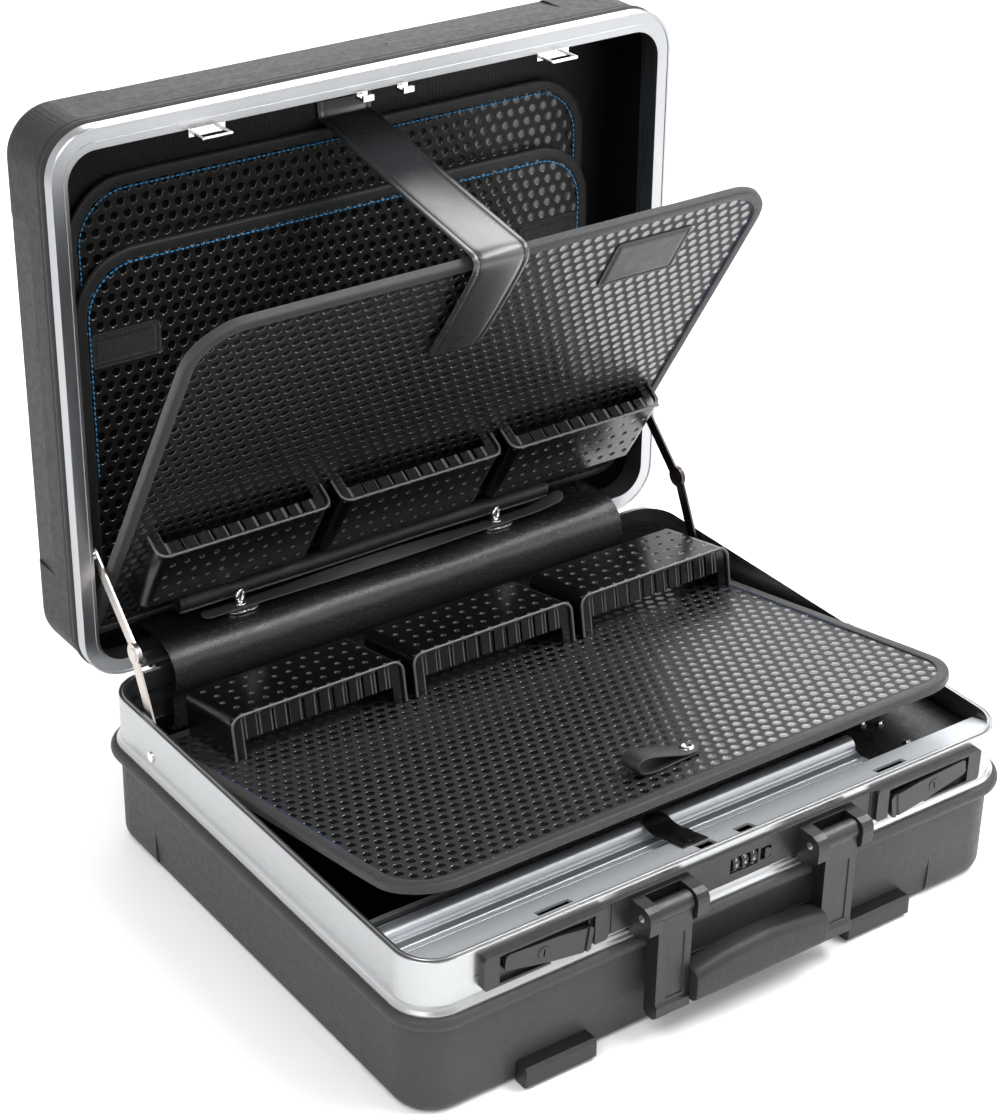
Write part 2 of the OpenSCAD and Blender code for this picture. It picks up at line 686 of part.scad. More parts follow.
module hinge_pins() {
  color("silver") for (i = [-1:1]) translate([i * hinge_pitch - hinge_l / 2, hinge_y, hinge_z])
    rotate([0, 90, 0]) cylinder(r = hinge_pin_r, h = hinge_l);
}

// Centres of a stay in the open pose: base pivot, lid pivot and knee
stay_p = [stay_base_y, rim_z - stay_base_drop];
lid_py = -stay_lid_s;
lid_pz = hinge_drop + stay_lid_h;
stay_q = [hinge_y + lid_py * cos(open_angle) + lid_pz * sin(open_angle),
  hinge_z - lid_py * sin(open_angle) + lid_pz * cos(open_angle)];
stay_len = sqrt(pow(stay_q[0] - stay_p[0], 2) + pow(stay_q[1] - stay_p[1], 2));
stay_dir = atan2(stay_q[1] - stay_p[1], stay_q[0] - stay_p[0]);
stay_in_a = acos(min(1, (stay_a * stay_a + stay_len * stay_len - stay_b * stay_b) / (2 * stay_a * stay_len)));
stay_in_b = acos(min(1, (stay_b * stay_b + stay_len * stay_len - stay_a * stay_a) / (2 * stay_b * stay_len)));

module arm_plate(l, hole) {
  rotate([90, 0, 90]) linear_extrude(height = stay_t) difference() {
    union() {
      translate([0, -stay_w / 2]) square([l, stay_w]);
      circle(r = stay_w / 2);
      translate([l, 0]) circle(r = stay_knee_r);
    }
    circle(r = hole);
  }
}

// Angles of the two arms in the open pose, the knee standing in front of the line of the pivots
base_arm_angle = stay_dir + stay_in_a;
lid_arm_angle = stay_dir + 180 - stay_in_b;

module stay_base_arm(s) {
  color("tan") mirror([s < 0 ? 1 : 0, 0, 0]) translate([arm_outer - stay_t, stay_p[0], stay_p[1]])
    rotate([base_arm_angle, 0, 0]) {
      arm_plate(stay_a, stay_rivet_r + pin_fit);
      translate([stay_t - eps, stay_a, 0]) rotate([0, 90, 0]) cylinder(r = 4.6, h = 0.4 + eps);
    }
}

module stay_lid_arm(s) {
  color("tan") mirror([s < 0 ? 1 : 0, 0, 0])
    translate([arm_outer - 2 * stay_t - stay_gap, stay_q[0], stay_q[1]])
    rotate([lid_arm_angle, 0, 0]) {
      arm_plate(stay_b, stay_rivet_r + pin_fit);
      translate([-0.4, stay_b, 0]) rotate([0, 90, 0]) cylinder(r = 4.6, h = 0.4 + eps);
    }
}

// Rivets through the frame's side walls that carry the base arms
module stay_rivets_base() {
  x1 = hx - frame_t;
  color("silver") for (s = [-1, 1]) translate([0, stay_p[0], stay_p[1]]) mirror([s < 0 ? 1 : 0, 0, 0])
    rotate([0, 90, 0]) {
      translate([0, 0, arm_outer - stay_t]) cylinder(r = stay_rivet_r, h = hx - arm_outer + stay_t);
      translate([0, 0, hx]) cylinder(r = 3.6, h = 0.9);
      translate([0, 0, arm_outer + 0.2]) cylinder(r = 3.8, h = x1 - arm_outer - 0.2);
    }
}

module stay_rivets_lid() {
  x0 = arm_outer - 2 * stay_t - stay_gap;
  x1 = hx - lid_face_in + 1.8;
  color("silver") opened() for (s = [-1, 1])
    translate([0, hinge_y - stay_lid_s, rim_z + stay_lid_h]) mirror([s < 0 ? 1 : 0, 0, 0]) {
      translate([x0, 0, 0]) rotate([0, 90, 0]) cylinder(r = stay_rivet_r, h = x1 - x0);
      translate([x0 + stay_t + 0.2, 0, 0]) rotate([0, 90, 0]) cylinder(r = 3.6, h = x1 - x0 - stay_t - 0.2);
    }
}

module lid_shell() {
  color("dimgray") opened() translate([0, 0, rim_z + lid_z1 - rim_z]) mirror([0, 0, 1]) difference() {
    union() {
      ring(hx, hy, corner_r, corner_r)
        shell_section(lid_out, lid_in, lid_h, lid_z1 - lid_bead_z - bead_h, lid_z1 - lid_bead_z,
          bead_out, lid_z1 - lid_ceiling);
      linear_extrude(height = lid_z1 - lid_ceiling)
        plate2(hx - 9, hy - 9, corner_r - 9, corner_r - 9);
    }
    side_slants(lid_out);
    translate([0, -hy - lid_out - 1, 24]) cube([56, 3, 12], center = true);
  }
}

module lid_frame_section(extra) {
  polygon([[-lid_face_in - extra, lid_z0 + 0.8], [-lid_face_in - extra + 0.8, lid_z0],
    [-lid_face_in - extra + 2.2, lid_z0], [-lid_face_in - extra + 2.2, lid_z0 + 0.5],
    [lid_face_out - 2.4, lid_z0 + 0.5], [lid_face_out - 2.4, lid_z0], [lid_face_out - 0.8, lid_z0],
    [lid_face_out, lid_z0 + 0.8], [lid_face_out, lid_z0 + lid_band_h], [lid_in - 0.3, lid_z0 + lid_band_h],
    [lid_in - 0.3, lid_z0 + lid_leg_h], [-lid_face_in + 1.8, lid_z0 + lid_leg_h],
    [-lid_face_in + 1.8, lid_z0 + 3], [-lid_face_in - extra, lid_z0 + 3]]);
}

module lid_frame() {
  fw = lid_face_front;
  color("silver") opened() difference() {
    union() {
      ring(hx, hy, corner_r, corner_r) lid_frame_section(0);
      difference() {
        translate([0, 0, lid_z0]) linear_extrude(height = 3)
          plate2(hx - lid_face_in + 1, hy - lid_face_in + 1, corner_r - lid_face_in + 1, corner_r - lid_face_in + 1);
        translate([0, fw / 2, lid_z0 - 1]) linear_extrude(height = 5)
          plate2(hx - lid_face_in, hy - lid_face_in - fw / 2, corner_r - lid_face_in, corner_r - lid_face_in);
      }
    }
    for (s = [-1, 1]) translate([s * (hx - lid_face_in - 1), hinge_y - stay_lid_s, rim_z + stay_lid_h])
      rotate([0, s * 90, 0]) cylinder(r = 3.7, h = 2.8);
  }
}

// A bent wire seen as a frame standing out of the lid's front edge
module wire_loops() {
  r = loop_r;
  w = loop_w / 2;
  d = loop_d;
  color("white") opened() for (s = [-1, 1]) translate([loop_x + s * loop_half, -hy + 11, lid_z0]) {
    for (t = [-1, 1]) translate([t * w, 0, -d]) cylinder(r = r, h = d);
    translate([-w, 0, -d]) rotate([0, 90, 0]) cylinder(r = r, h = 2 * w);
    for (t = [-1, 1]) translate([t * w, 0, -d]) sphere(r = r);
    box(-w - 3, w + 3, -11 + lid_face_in + lid_face_front, 2.4, 0, 1.6);
  }
}

module lid_hooks() {
  color("silver") opened() for (s = [-1, 1]) translate([s * 15.5, -hy + 11, lid_z0]) {
    translate([-4, 0, 0]) rotate([90, 0, 90]) linear_extrude(height = 8)
      polygon([[-11 + lid_face_in + lid_face_front, 0], [-0.8, 0], [-0.8, -5.6], [-2.4, -5.6],
        [-2.4, -8], [1.2, -8], [1.2, 2], [-11 + lid_face_in + lid_face_front, 2]]);
  }
}

module pocket_board(h) {
  translate([0, -h / 2, 0]) linear_extrude(height = pocket_t) plate2(pocket_hw, h / 2, 44, 6);
}

// Hem that carries a pocket board along its lower edge
module pocket_hem(z0, z1) {
  box(-pocket_hw + 6, pocket_hw - 6, pocket_y - 8, pocket_y, z0, z1);
}

module front_pocket() {
  color("black") opened() {
    translate([0, pocket_y, front_pocket_z]) pocket_board(front_pocket_h);
    pocket_hem(front_pocket_z, rear_pocket_z - 0.2);
  }
}

module rear_pocket() {
  color("black") opened() {
    translate([0, pocket_y, rear_pocket_z]) pocket_board(rear_pocket_h);
    pocket_hem(rear_pocket_z, lid_ceiling - 0.2);
  }
}

module pocket_tabs() {
  y0 = pocket_y - front_pocket_h + 54;
  color("black") opened() for (s = [-1, 1])
    rbox(s * (pocket_hw - 34) - 26, s * (pocket_hw - 34) + 26, y0, y0 + 24,
      front_pocket_z - 1.2, front_pocket_z, 3);
}

module strap_anchor() {
  color("gray") opened() {
    box(strap_x - strap_w / 2, strap_x + strap_w / 2, strap_y - 14, strap_y + 4,
      lid_ceiling - strap_t, lid_ceiling);
    box(strap_x - strap_w / 2, strap_x + strap_w / 2, strap_y - strap_t / 2, strap_y + strap_t / 2,
      strap_z + 2, lid_ceiling - strap_t + eps);
  }
}

// Place of the strap's axis and of the lid board's free edge in the open pose
function lid_point(y, z) = [hinge_y + (y - hinge_y) * cos(open_angle) + (z - hinge_z) * sin(open_angle),
  hinge_z - (y - hinge_y) * sin(open_angle) + (z - hinge_z) * cos(open_angle)];
strap_p = lid_point(strap_y, strap_z);
strap_q = lid_point(board_y_lid - (lid_board_l + 3) * cos(lid_board_lean),
  board_z_lid - (lid_board_l + 3) * sin(lid_board_lean));
strap_l = sqrt(pow(strap_q[0] - strap_p[0], 2) + pow(strap_q[1] - strap_p[1], 2)) - 6.3;
strap_a = atan2(strap_q[1] - strap_p[1], strap_q[0] - strap_p[0]);

module holding_strap() {
  color("black") translate([0, strap_p[0], strap_p[1]]) rotate([strap_a, 0, 0])
    translate([0, 0, -strap_t / 2]) linear_extrude(height = strap_t)
    polygon([[strap_x - strap_w / 2, 0], [strap_x + strap_w / 2, 0],
      [clip_x + strap_w / 2, strap_l], [clip_x - strap_w / 2, strap_l]]);
}

module lid_board_place() {
  opened() translate([0, board_y_lid, board_z_lid]) rotate([lid_board_lean, 0, 0]) children();
}

module base_board_place() {
  translate([0, board_y_base, board_z_base]) rotate([-base_board_rise, 0, 0]) children();
}

module board(l) {
  translate([0, -(l + board_set) / 2, -board_t / 2]) linear_extrude(height = board_t)
    plate2(board_hw - bind_t, (l - board_set) / 2 - bind_t, board_r - bind_t, 12 - bind_t);
}

// Bound edge of a board, a U section with a round back
module board_binding(l) {
  h = board_t / 2 + bind_t;
  translate([0, -(l + board_set) / 2, 0]) ring(board_hw, (l - board_set) / 2, board_r, 12)
    polygon(concat([[-bind_w, -board_t / 2], [-bind_w, -h]], arc(-1.6, -h + 1.6, 1.6, -90, 0, 4),
      arc(-1.6, h - 1.6, 1.6, 0, 90, 4), [[-bind_w, h], [-bind_w, board_t / 2],
      [-bind_t, board_t / 2], [-bind_t, -board_t / 2]]));
}

// Tubes on a board's rear edge that turn on its rod
module board_knuckles() {
  for (s = [-1, 1]) difference() {
    union() {
      translate([s * knuckle_x - 34, 0, 0]) rotate([0, 90, 0]) cylinder(r = rod_r + 1.4, h = 68);
      box(s * knuckle_x - 34, s * knuckle_x + 34, -board_set, -rod_r - 0.6, -board_t / 2, board_t / 2);
    }
    translate([s * knuckle_x - 40, 0, 0]) rotate([0, 90, 0]) cylinder(r = rod_r + pin_fit, h = 80);
  }
}

module board_rod() {
  translate([-rod_hw, 0, 0]) rotate([0, 90, 0]) cylinder(r = rod_r, h = 2 * rod_hw);
}

module strap_clip() {
  o = board_t / 2 + bind_t + strap_t;
  l = lid_board_l;
  color("black") lid_board_place() difference() {
    union() {
      box(clip_x - strap_w / 2, clip_x + strap_w / 2, -l, -l + 92, -o, o - 2 * strap_t);
      box(clip_x - strap_w / 2, clip_x + strap_w / 2, -l - strap_t, -l, -o, o);
      box(clip_x - strap_w / 2, clip_x + strap_w / 2, -l, -l + 30, 0, o);
    }
    box(clip_x - strap_w, clip_x + strap_w, -l - eps, -l + bind_w + 0.2, -board_t / 2 - bind_t,
      board_t / 2 + bind_t);
    box(clip_x - strap_w, clip_x + strap_w, -l + bind_w, -l + 100, -board_t / 2, board_t / 2);
  }
}

module lid_board() {
  color("black") lid_board_place() board(lid_board_l);
}

module lid_board_knuckles() {
  color("gray") lid_board_place() board_knuckles();
}

module base_board_knuckles() {
  color("gray") base_board_place() board_knuckles();
}

module lid_board_binding() {
  color("dimgray") lid_board_place() board_binding(lid_board_l);
}

module lid_board_patch() {
  color("black") lid_board_place()
    rbox(board_hw - 125, board_hw - 62, -lid_board_l + 24, -lid_board_l + 68, -board_t / 2 - 1.2,
      -board_t / 2, 4);
}

// A holder stands on the board with its comb away from the board's axis
module holder(d, h, finger) {
  w = holder_w;
  t = holder_t;
  r = 8;
  n = fingers;
  x0 = -w / 2 + 9;
  p = (w - 18) / n;
  nx = 11;
  ny = floor((d - 12) / 13);
  difference() {
    rotate([90, 0, 0]) linear_extrude(height = d) difference() {
      union() {
        translate([-w / 2, 0]) square([w, h - r]);
        translate([-w / 2 + r, 0]) square([w - 2 * r, h]);
        for (s = [-1, 1]) translate([s * (w / 2 - r), h - r]) circle(r = r);
      }
      difference() {
        union() {
          translate([-w / 2 + t, -1]) square([w - 2 * t, h - r + 1]);
          translate([-w / 2 + r, -1]) square([w - 2 * r, h - t + 1]);
          for (s = [-1, 1]) translate([s * (w / 2 - r), h - r]) circle(r = r - t);
        }
      }
    }
    for (i = [0:nx - 1], j = [0:ny - 1])
      translate([(i - (nx - 1) / 2) * 11 + (j % 2) * 3 - 1.5, -9 - j * 13, h - t - 1])
        cylinder(r = perf_r, h = t + 2);
  }
  difference() {
    translate([0, -d + t + comb_set, 0]) rotate([90, 0, 0]) linear_extrude(height = t)
      translate([-w / 2 + t / 2, 0]) square([w - t, h - t / 2]);
    translate([0, -d + comb_set - 1, 0]) {
      box(x0, -x0, 0, t + 2, -1, h - t - finger);
      for (i = [1:n - 1]) box(x0 + i * p - finger_gap / 2, x0 + i * p + finger_gap / 2, 0, t + 2,
        h - t - finger - 1, h - t - 0.6);
    }
  }
}

module lid_holders() {
  color("black") lid_board_place() translate([0, -lid_holder_s, -board_t / 2]) mirror([0, 0, 1])
    for (i = [-1:1]) translate([lid_holder_x + i * holder_pitch, 0, 0]) holder(lid_holder_d, lid_holder_h, 9);
}

module base_holders() {
  color("black") base_board_place() translate([holder_x, -base_holder_s, board_t / 2])
    for (i = [-1:1]) translate([i * holder_pitch, 0, 0]) holder(base_holder_d, base_holder_h, 16);
}

// Brackets that carry the rod of the lid board
module lid_board_hinge() {
  w = hy + lid_in - board_y_lid;
  color("gray") opened() translate([0, board_y_lid, board_z_lid]) {
    board_rod();
    for (s = [-1, 1]) translate([s * rod_bracket_x - 8, 0, 0]) rotate([90, 0, 90]) linear_extrude(height = 16)
      union() {
        circle(r = rod_r + 2.4);
        polygon([[0, -rod_r - 2.4], [w - 1.5, -9], [w, -9], [w, 9], [w - 1.5, 9], [0, rod_r + 2.4]]);
      }
  }
}

module base_board() {
  color("black") base_board_place() board(base_board_l);
}

module base_board_binding() {
  color("dimgray") base_board_place() board_binding(base_board_l);
}

// Brackets that carry the rod of the base board, passing below the hinge cover
module base_board_hinge() {
  w = hy + shell_in - board_y_base;
  color("gray") translate([0, board_y_base, board_z_base]) {
    board_rod();
    for (s = [-1, 1]) translate([s * rod_bracket_x - 8, 0, 0]) rotate([90, 0, 90]) linear_extrude(height = 16)
      union() {
        circle(r = rod_r + 2.4);
        polygon([[-rod_r - 2.4, 0], [-rod_r - 2.4, -24], [2, -34], [w, -34], [w, -22], [8, -22],
          [rod_r + 2.4, -16], [rod_r + 2.4, 0]]);
      }
  }
}

// Rolled leather grip and its strip, buttoned on the hinge cover
module flap_handle() {
  y = flap_y - plate_t;
  color("black") opened() difference() {
    union() {
      box(flap_x - flap_hw, flap_x + flap_hw, y - strap_t, y, tube_z - strip_in + 6, tube_z);
      box(flap_x - flap_hw + 6, flap_x + flap_hw - 6, y - strap_t, y, tube_z - strip_in, tube_z);
      for (s = [-1, 1]) translate([flap_x + s * (flap_hw - 6), y, tube_z - strip_in + 6])
        rotate([90, 0, 0]) cylinder(r = 6, h = strap_t);
      translate([tube_x - tube_hw, y - strap_t - tube_r + 0.3, tube_z]) rotate([0, 90, 0])
        cylinder(r = tube_r, h = 2 * tube_hw);
    }
    for (s = [-1, 1]) translate([button_c + s * button_x, y + 1, tube_z - button_in])
      rotate([90, 0, 0]) cylinder(r = 2.2 + pin_fit, h = strap_t + 2);
  }
}

// Plates under the strip, which carry the two turn buttons
module turn_plates() {
  color("silver") opened() for (s = [-1, 1])
    translate([button_c + s * button_x, flap_y, tube_z - button_in]) rotate([90, 0, 0])
    difference() {
      linear_extrude(height = plate_t) plate2(13, 9.5, 9, 9);
      translate([0, 0, -1]) cylinder(r = 2.2 + pin_fit, h = plate_t + 2);
    }
}

module turn_button(s) {
  ring_r = 3.4;
  wire_r = 1.3;
  color("silver") opened()
    translate([button_c + s * button_x, flap_y, tube_z - button_in]) rotate([90, 0, 0]) {
    cylinder(r = 2.2, h = plate_t + strap_t + 1);
    translate([0, 0, plate_t + strap_t + 0.6]) cylinder(r = 4, h = 1);
    translate([0, 0, plate_t + strap_t + 1.2 + ring_r]) rotate([90, 0, 0])
      rotate_extrude() translate([ring_r, 0]) circle(r = wire_r);
  }
}

cover_hx = hx - 45;
cover_r = 21;
cover_t = 1.2;
cover_step = cover_t + 0.5;
cover_a = 78;
flap_y = hinge_y - (cover_r + cover_step + cover_t) - 0.15;
flap_hw = cover_hx - 36;
tube_hw = flap_hw + 2;
button_x = flap_hw - 45;
flap_x = 0;
button_c = -14;
tube_x = -9;
tube_r = 5.6;
plate_t = 1;
strip_in = 20;
button_in = 14;
tube_z = hinge_z + 20;

// Nested curved covers over the hinge, one on the lid and one on the base
module cover_sheet(points) {
  translate([-cover_hx, 0, 0]) rotate([90, 0, 90]) linear_extrude(2 * cover_hx) polygon(points);
}

module hinge_cover_lid() {
  r = cover_r + cover_step;
  z0 = hinge_z + r * sin(cover_a);
  z1 = hinge_z + (r + cover_t) * sin(cover_a);
  z_end = hinge_z + hinge_y - hy - lid_in + 0.4;
  y1 = hinge_y + 32;
  color("black") cover_sheet(concat(
    arc(hinge_y, hinge_z, r + cover_t, 127, cover_a, 16),
    [[y1, z1], [y1, z_end], [y1 - cover_t, z_end], [y1 - cover_t, z0]],
    arc(hinge_y, hinge_z, r, cover_a, 127, 16)));
}

module hinge_cover_base() {
  r = cover_r;
  a = 217;
  y0 = hinge_y + (r + cover_t) * cos(a);
  y1 = hy + shell_in - 0.3;
  z0 = hinge_z - 42;
  color("black") cover_sheet(concat(
    arc(hinge_y, hinge_z, r + cover_t, 124, a, 24),
    [[y0, z0], [y1, z0], [y1, z0 + cover_t], [y0 + cover_t, z0 + cover_t],
      [y0 + cover_t, hinge_z + r * sin(a) - 0.5]],
    arc(hinge_y, hinge_z, r, a, 124, 24)));
}

module pull_loop() {
  z = board_t / 2;
  color("black") base_board_place() {
    rbox(-8, 24, -284, -266, z, z + 1.4, 6);
    translate([-18, -267, z + 3.5]) rotate([90, 0, 0]) linear_extrude(height = 16) difference() {
      union() {
        circle(r = 3.5);
        translate([0, -3.5]) square([16, 1.4]);
      }
      circle(r = 2.2);
    }
  }
}

module snap_studs() {
  z = board_t / 2 + 1.4;
  color("silver") base_board_place() translate([14, -275, z]) difference() {
    cylinder(r = 5, h = 1.4);
    translate([0, 0, 0.7]) cylinder(r = 3.4, h = 1);
  }
}

// Thin plate with a split top edge across the case
module divider() {
  y = divider_y;
  x1 = hx + shell_in - 1;
  color("silver") translate([-x1, 0, 0]) rotate([90, 0, 90])
    linear_extrude(height = 2 * x1) union() {
      translate([y - 1, floor_z]) square([2, divider_z - floor_z]);
      translate([y - 3, divider_z - 4]) square([6, 1.4]);
      translate([y - 3, divider_z - 4]) square([1.2, 4]);
      translate([y + 1.8, divider_z - 4]) square([1.2, 4]);
      translate([y - 4, floor_z]) square([8, 1.8]);
      for (k = [1:4]) translate([y - 1, divider_z - 14 * k]) circle(r = 1.2);
    }
}

// Black box in the right front corner
module corner_box() {
  x0 = rail_x1 + 0.4;
  x1 = hx + shell_in - 1;
  y0 = -hy + cover_d + 0.4;
  y1 = ridge_y + 26;
  z1 = ridge_z - 5;
  color("black") difference() {
    rbox(x0, x1, y0, y1, floor_z, z1, 3);
    rbox(x0 + 2.4, x1 - 2.4, y0 + 2.4, y1 - 2.4, floor_z - 1, z1 - 2.4, 1);
  }
}

module base_studs() {
  x0 = rail_x1 + 0.4;
  z1 = ridge_z - 5;
  color("silver") {
    for (p = [[x0 + 22, ridge_y + 12], [x0 + 32, ridge_y + 6], [x0 + 32, ridge_y - 21]])
      translate([p[0], p[1], z1]) {
        cylinder(r = 3, h = 1.2);
        translate([0, 0, 1.2 - eps]) cylinder(r = 1.6, h = 1);
      }
    translate([tab_x, -hy + tab_start + 6, strip_top(tab_start + 6) + 1.9])
      rotate([-atan(0.27), 0, 0]) cylinder(r = 5, h = 1.2);
  }
}

// Leather tab fixed to the strip, its free end lying on the ridge
module divider_tab() {
  t = 1.5;
  y0 = -hy + tab_start;
  y1 = -hy + cover_d;
  z0 = strip_top(tab_start) + 0.2;
  z1 = strip_top(cover_d) + 0.2;
  yr = ridge_y - 3;
  zr = ridge_z + 0.2;
  color("black") translate([tab_x, 0, 0]) intersection() {
    translate([-tab_w / 2, 0, 0]) rotate([90, 0, 90]) linear_extrude(height = tab_w)
      polygon([[y0, z0], [y1, z1], [(y1 + yr) / 2, (z1 + zr) / 2], [yr, zr], [yr + 3, zr],
        [yr + 3, zr + t], [yr, zr + t], [(y1 + yr) / 2, (z1 + zr) / 2 + t], [y1, z1 + t], [y0, z0 + t]]);
    union() {
      translate([0, yr + 3 - tab_w / 2, ridge_z - 20]) cylinder(r = tab_w / 2, h = 60);
      box(-tab_w / 2, tab_w / 2, y0 - 1, yr + 3 - tab_w / 2, ridge_z - 20, ridge_z + 40);
    }
  }
}

base_shell();
base_frame();
front_rail();
front_feet();
lock_strip();
lock_works();
latch_lever(-1);  // latch_lever_left
latch_lever(1);  // latch_lever_right
key_core(-1);  // key_core_left
key_core(1);  // key_core_right
number_wheel(1);  // number_wheel_1
number_wheel(2);  // number_wheel_2
number_wheel(3);  // number_wheel_3
release_slide();
handle_brackets();
handle_pins();
carry_handle();
handle_grip();
hinge_leaves_base();
hinge_leaves_lid();
hinge_pins();
stay_base_arm(-1);  // stay_base_arm_left
stay_base_arm(1);  // stay_base_arm_right
stay_lid_arm(-1);  // stay_lid_arm_left
stay_lid_arm(1);  // stay_lid_arm_right
stay_rivets_base();
stay_rivets_lid();
lid_shell();
lid_frame();
wire_loops();
lid_hooks();
front_pocket();
rear_pocket();
pocket_tabs();
strap_anchor();
holding_strap();
strap_clip();
lid_board();
lid_board_binding();
lid_holders();
lid_board_knuckles();
lid_board_patch();
lid_board_hinge();
flap_handle();
turn_plates();
turn_button(-1);  // turn_button_left
turn_button(1);  // turn_button_right
hinge_cover_lid();
hinge_cover_base();
base_board();
base_board_binding();
base_holders();
base_board_hinge();
base_board_knuckles();
pull_loop();
snap_studs();
divider();
corner_box();
base_studs();
divider_tab();
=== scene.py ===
import bpy
import bmesh
import math
from mathutils.bvhtree import BVHTree
from mathutils import Matrix, Vector


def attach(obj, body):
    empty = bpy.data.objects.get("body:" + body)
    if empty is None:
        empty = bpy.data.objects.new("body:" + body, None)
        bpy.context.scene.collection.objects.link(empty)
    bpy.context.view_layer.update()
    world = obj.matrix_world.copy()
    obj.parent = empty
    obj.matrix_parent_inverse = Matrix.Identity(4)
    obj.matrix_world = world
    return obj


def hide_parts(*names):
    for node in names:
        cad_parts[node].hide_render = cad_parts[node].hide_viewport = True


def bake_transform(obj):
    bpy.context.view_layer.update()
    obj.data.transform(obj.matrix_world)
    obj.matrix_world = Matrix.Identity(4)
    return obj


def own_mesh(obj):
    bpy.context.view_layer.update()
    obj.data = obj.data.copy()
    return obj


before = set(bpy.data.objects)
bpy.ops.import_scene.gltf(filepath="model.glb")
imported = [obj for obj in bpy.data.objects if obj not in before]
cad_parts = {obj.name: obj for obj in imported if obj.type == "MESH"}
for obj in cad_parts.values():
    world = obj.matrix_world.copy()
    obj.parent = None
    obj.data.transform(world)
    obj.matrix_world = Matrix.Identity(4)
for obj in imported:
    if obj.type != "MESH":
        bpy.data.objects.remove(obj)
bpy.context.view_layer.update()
scene = bpy.context.scene

# Camera, fitted to the photograph
az, el, roll = (math.radians(a) for a in (-36.064, 29.324, 1.175))
back = Vector((math.sin(az) * math.cos(el), -math.cos(az) * math.cos(el), math.sin(el)))
right0 = (-back).cross(Vector((0, 0, 1))).normalized()
up0 = right0.cross(-back)
right = right0 * math.cos(roll) + up0 * math.sin(roll)
up = up0 * math.cos(roll) - right0 * math.sin(roll)
cam = bpy.data.objects.new("camera", bpy.data.cameras.new("camera"))
cam.matrix_world = Matrix((
    (right.x, up.x, back.x, -0.9064), (right.y, up.y, back.y, -1.1807),
    (right.z, up.z, back.z, 1.0580), (0, 0, 0, 1)))
FOCAL_PIXELS, PHOTO_HIGH, SENSOR = 2676.4, 1114, 36
cam.data.sensor_width = SENSOR
cam.data.lens = FOCAL_PIXELS / PHOTO_HIGH * SENSOR
cam.data.clip_end = 50
scene.collection.objects.link(cam)
scene.camera = cam

# Frames of the moving panels
HINGE = Vector((0, 0.1918, 0.1057))
OPEN_ANGLE = math.radians(90.6)
OPEN = (Matrix.Translation(HINGE) @ Matrix.Rotation(-OPEN_ANGLE, 4, "X")
        @ Matrix.Translation(-HINGE))
LID_BOARD = OPEN @ Matrix.Translation((0, 0.178, 0.149)) @ Matrix.Rotation(math.radians(30.9), 4, "X")
BASE_BOARD = Matrix.Translation((0, 0.150, 0.0805)) @ Matrix.Rotation(math.radians(-11), 4, "X")
# Sizes of the boards, pockets and tool holders, and the place of the rail tab
LID_L, BASE_L = 0.338, 0.315
BOARD_HALF, FREE_R, HINGE_R, BOARD_GAP = 0.222, 0.038, 0.012, 0.0044
POCKET_FOOT, FRONT_POCKET, REAR_POCKET = 0.168, 0.256, 0.304
POCKET_HALF, POCKET_TOP_R, POCKET_FOOT_R = 0.2056, 0.0444, 0.0064
HOLDER_PITCH, LID_HOLDER_X, BASE_HOLDER_X = 0.140, 0.004, 0.0087
TAB_X = -0.019


# Node materials
def shade(color, k):
    return tuple(c * k for c in color)


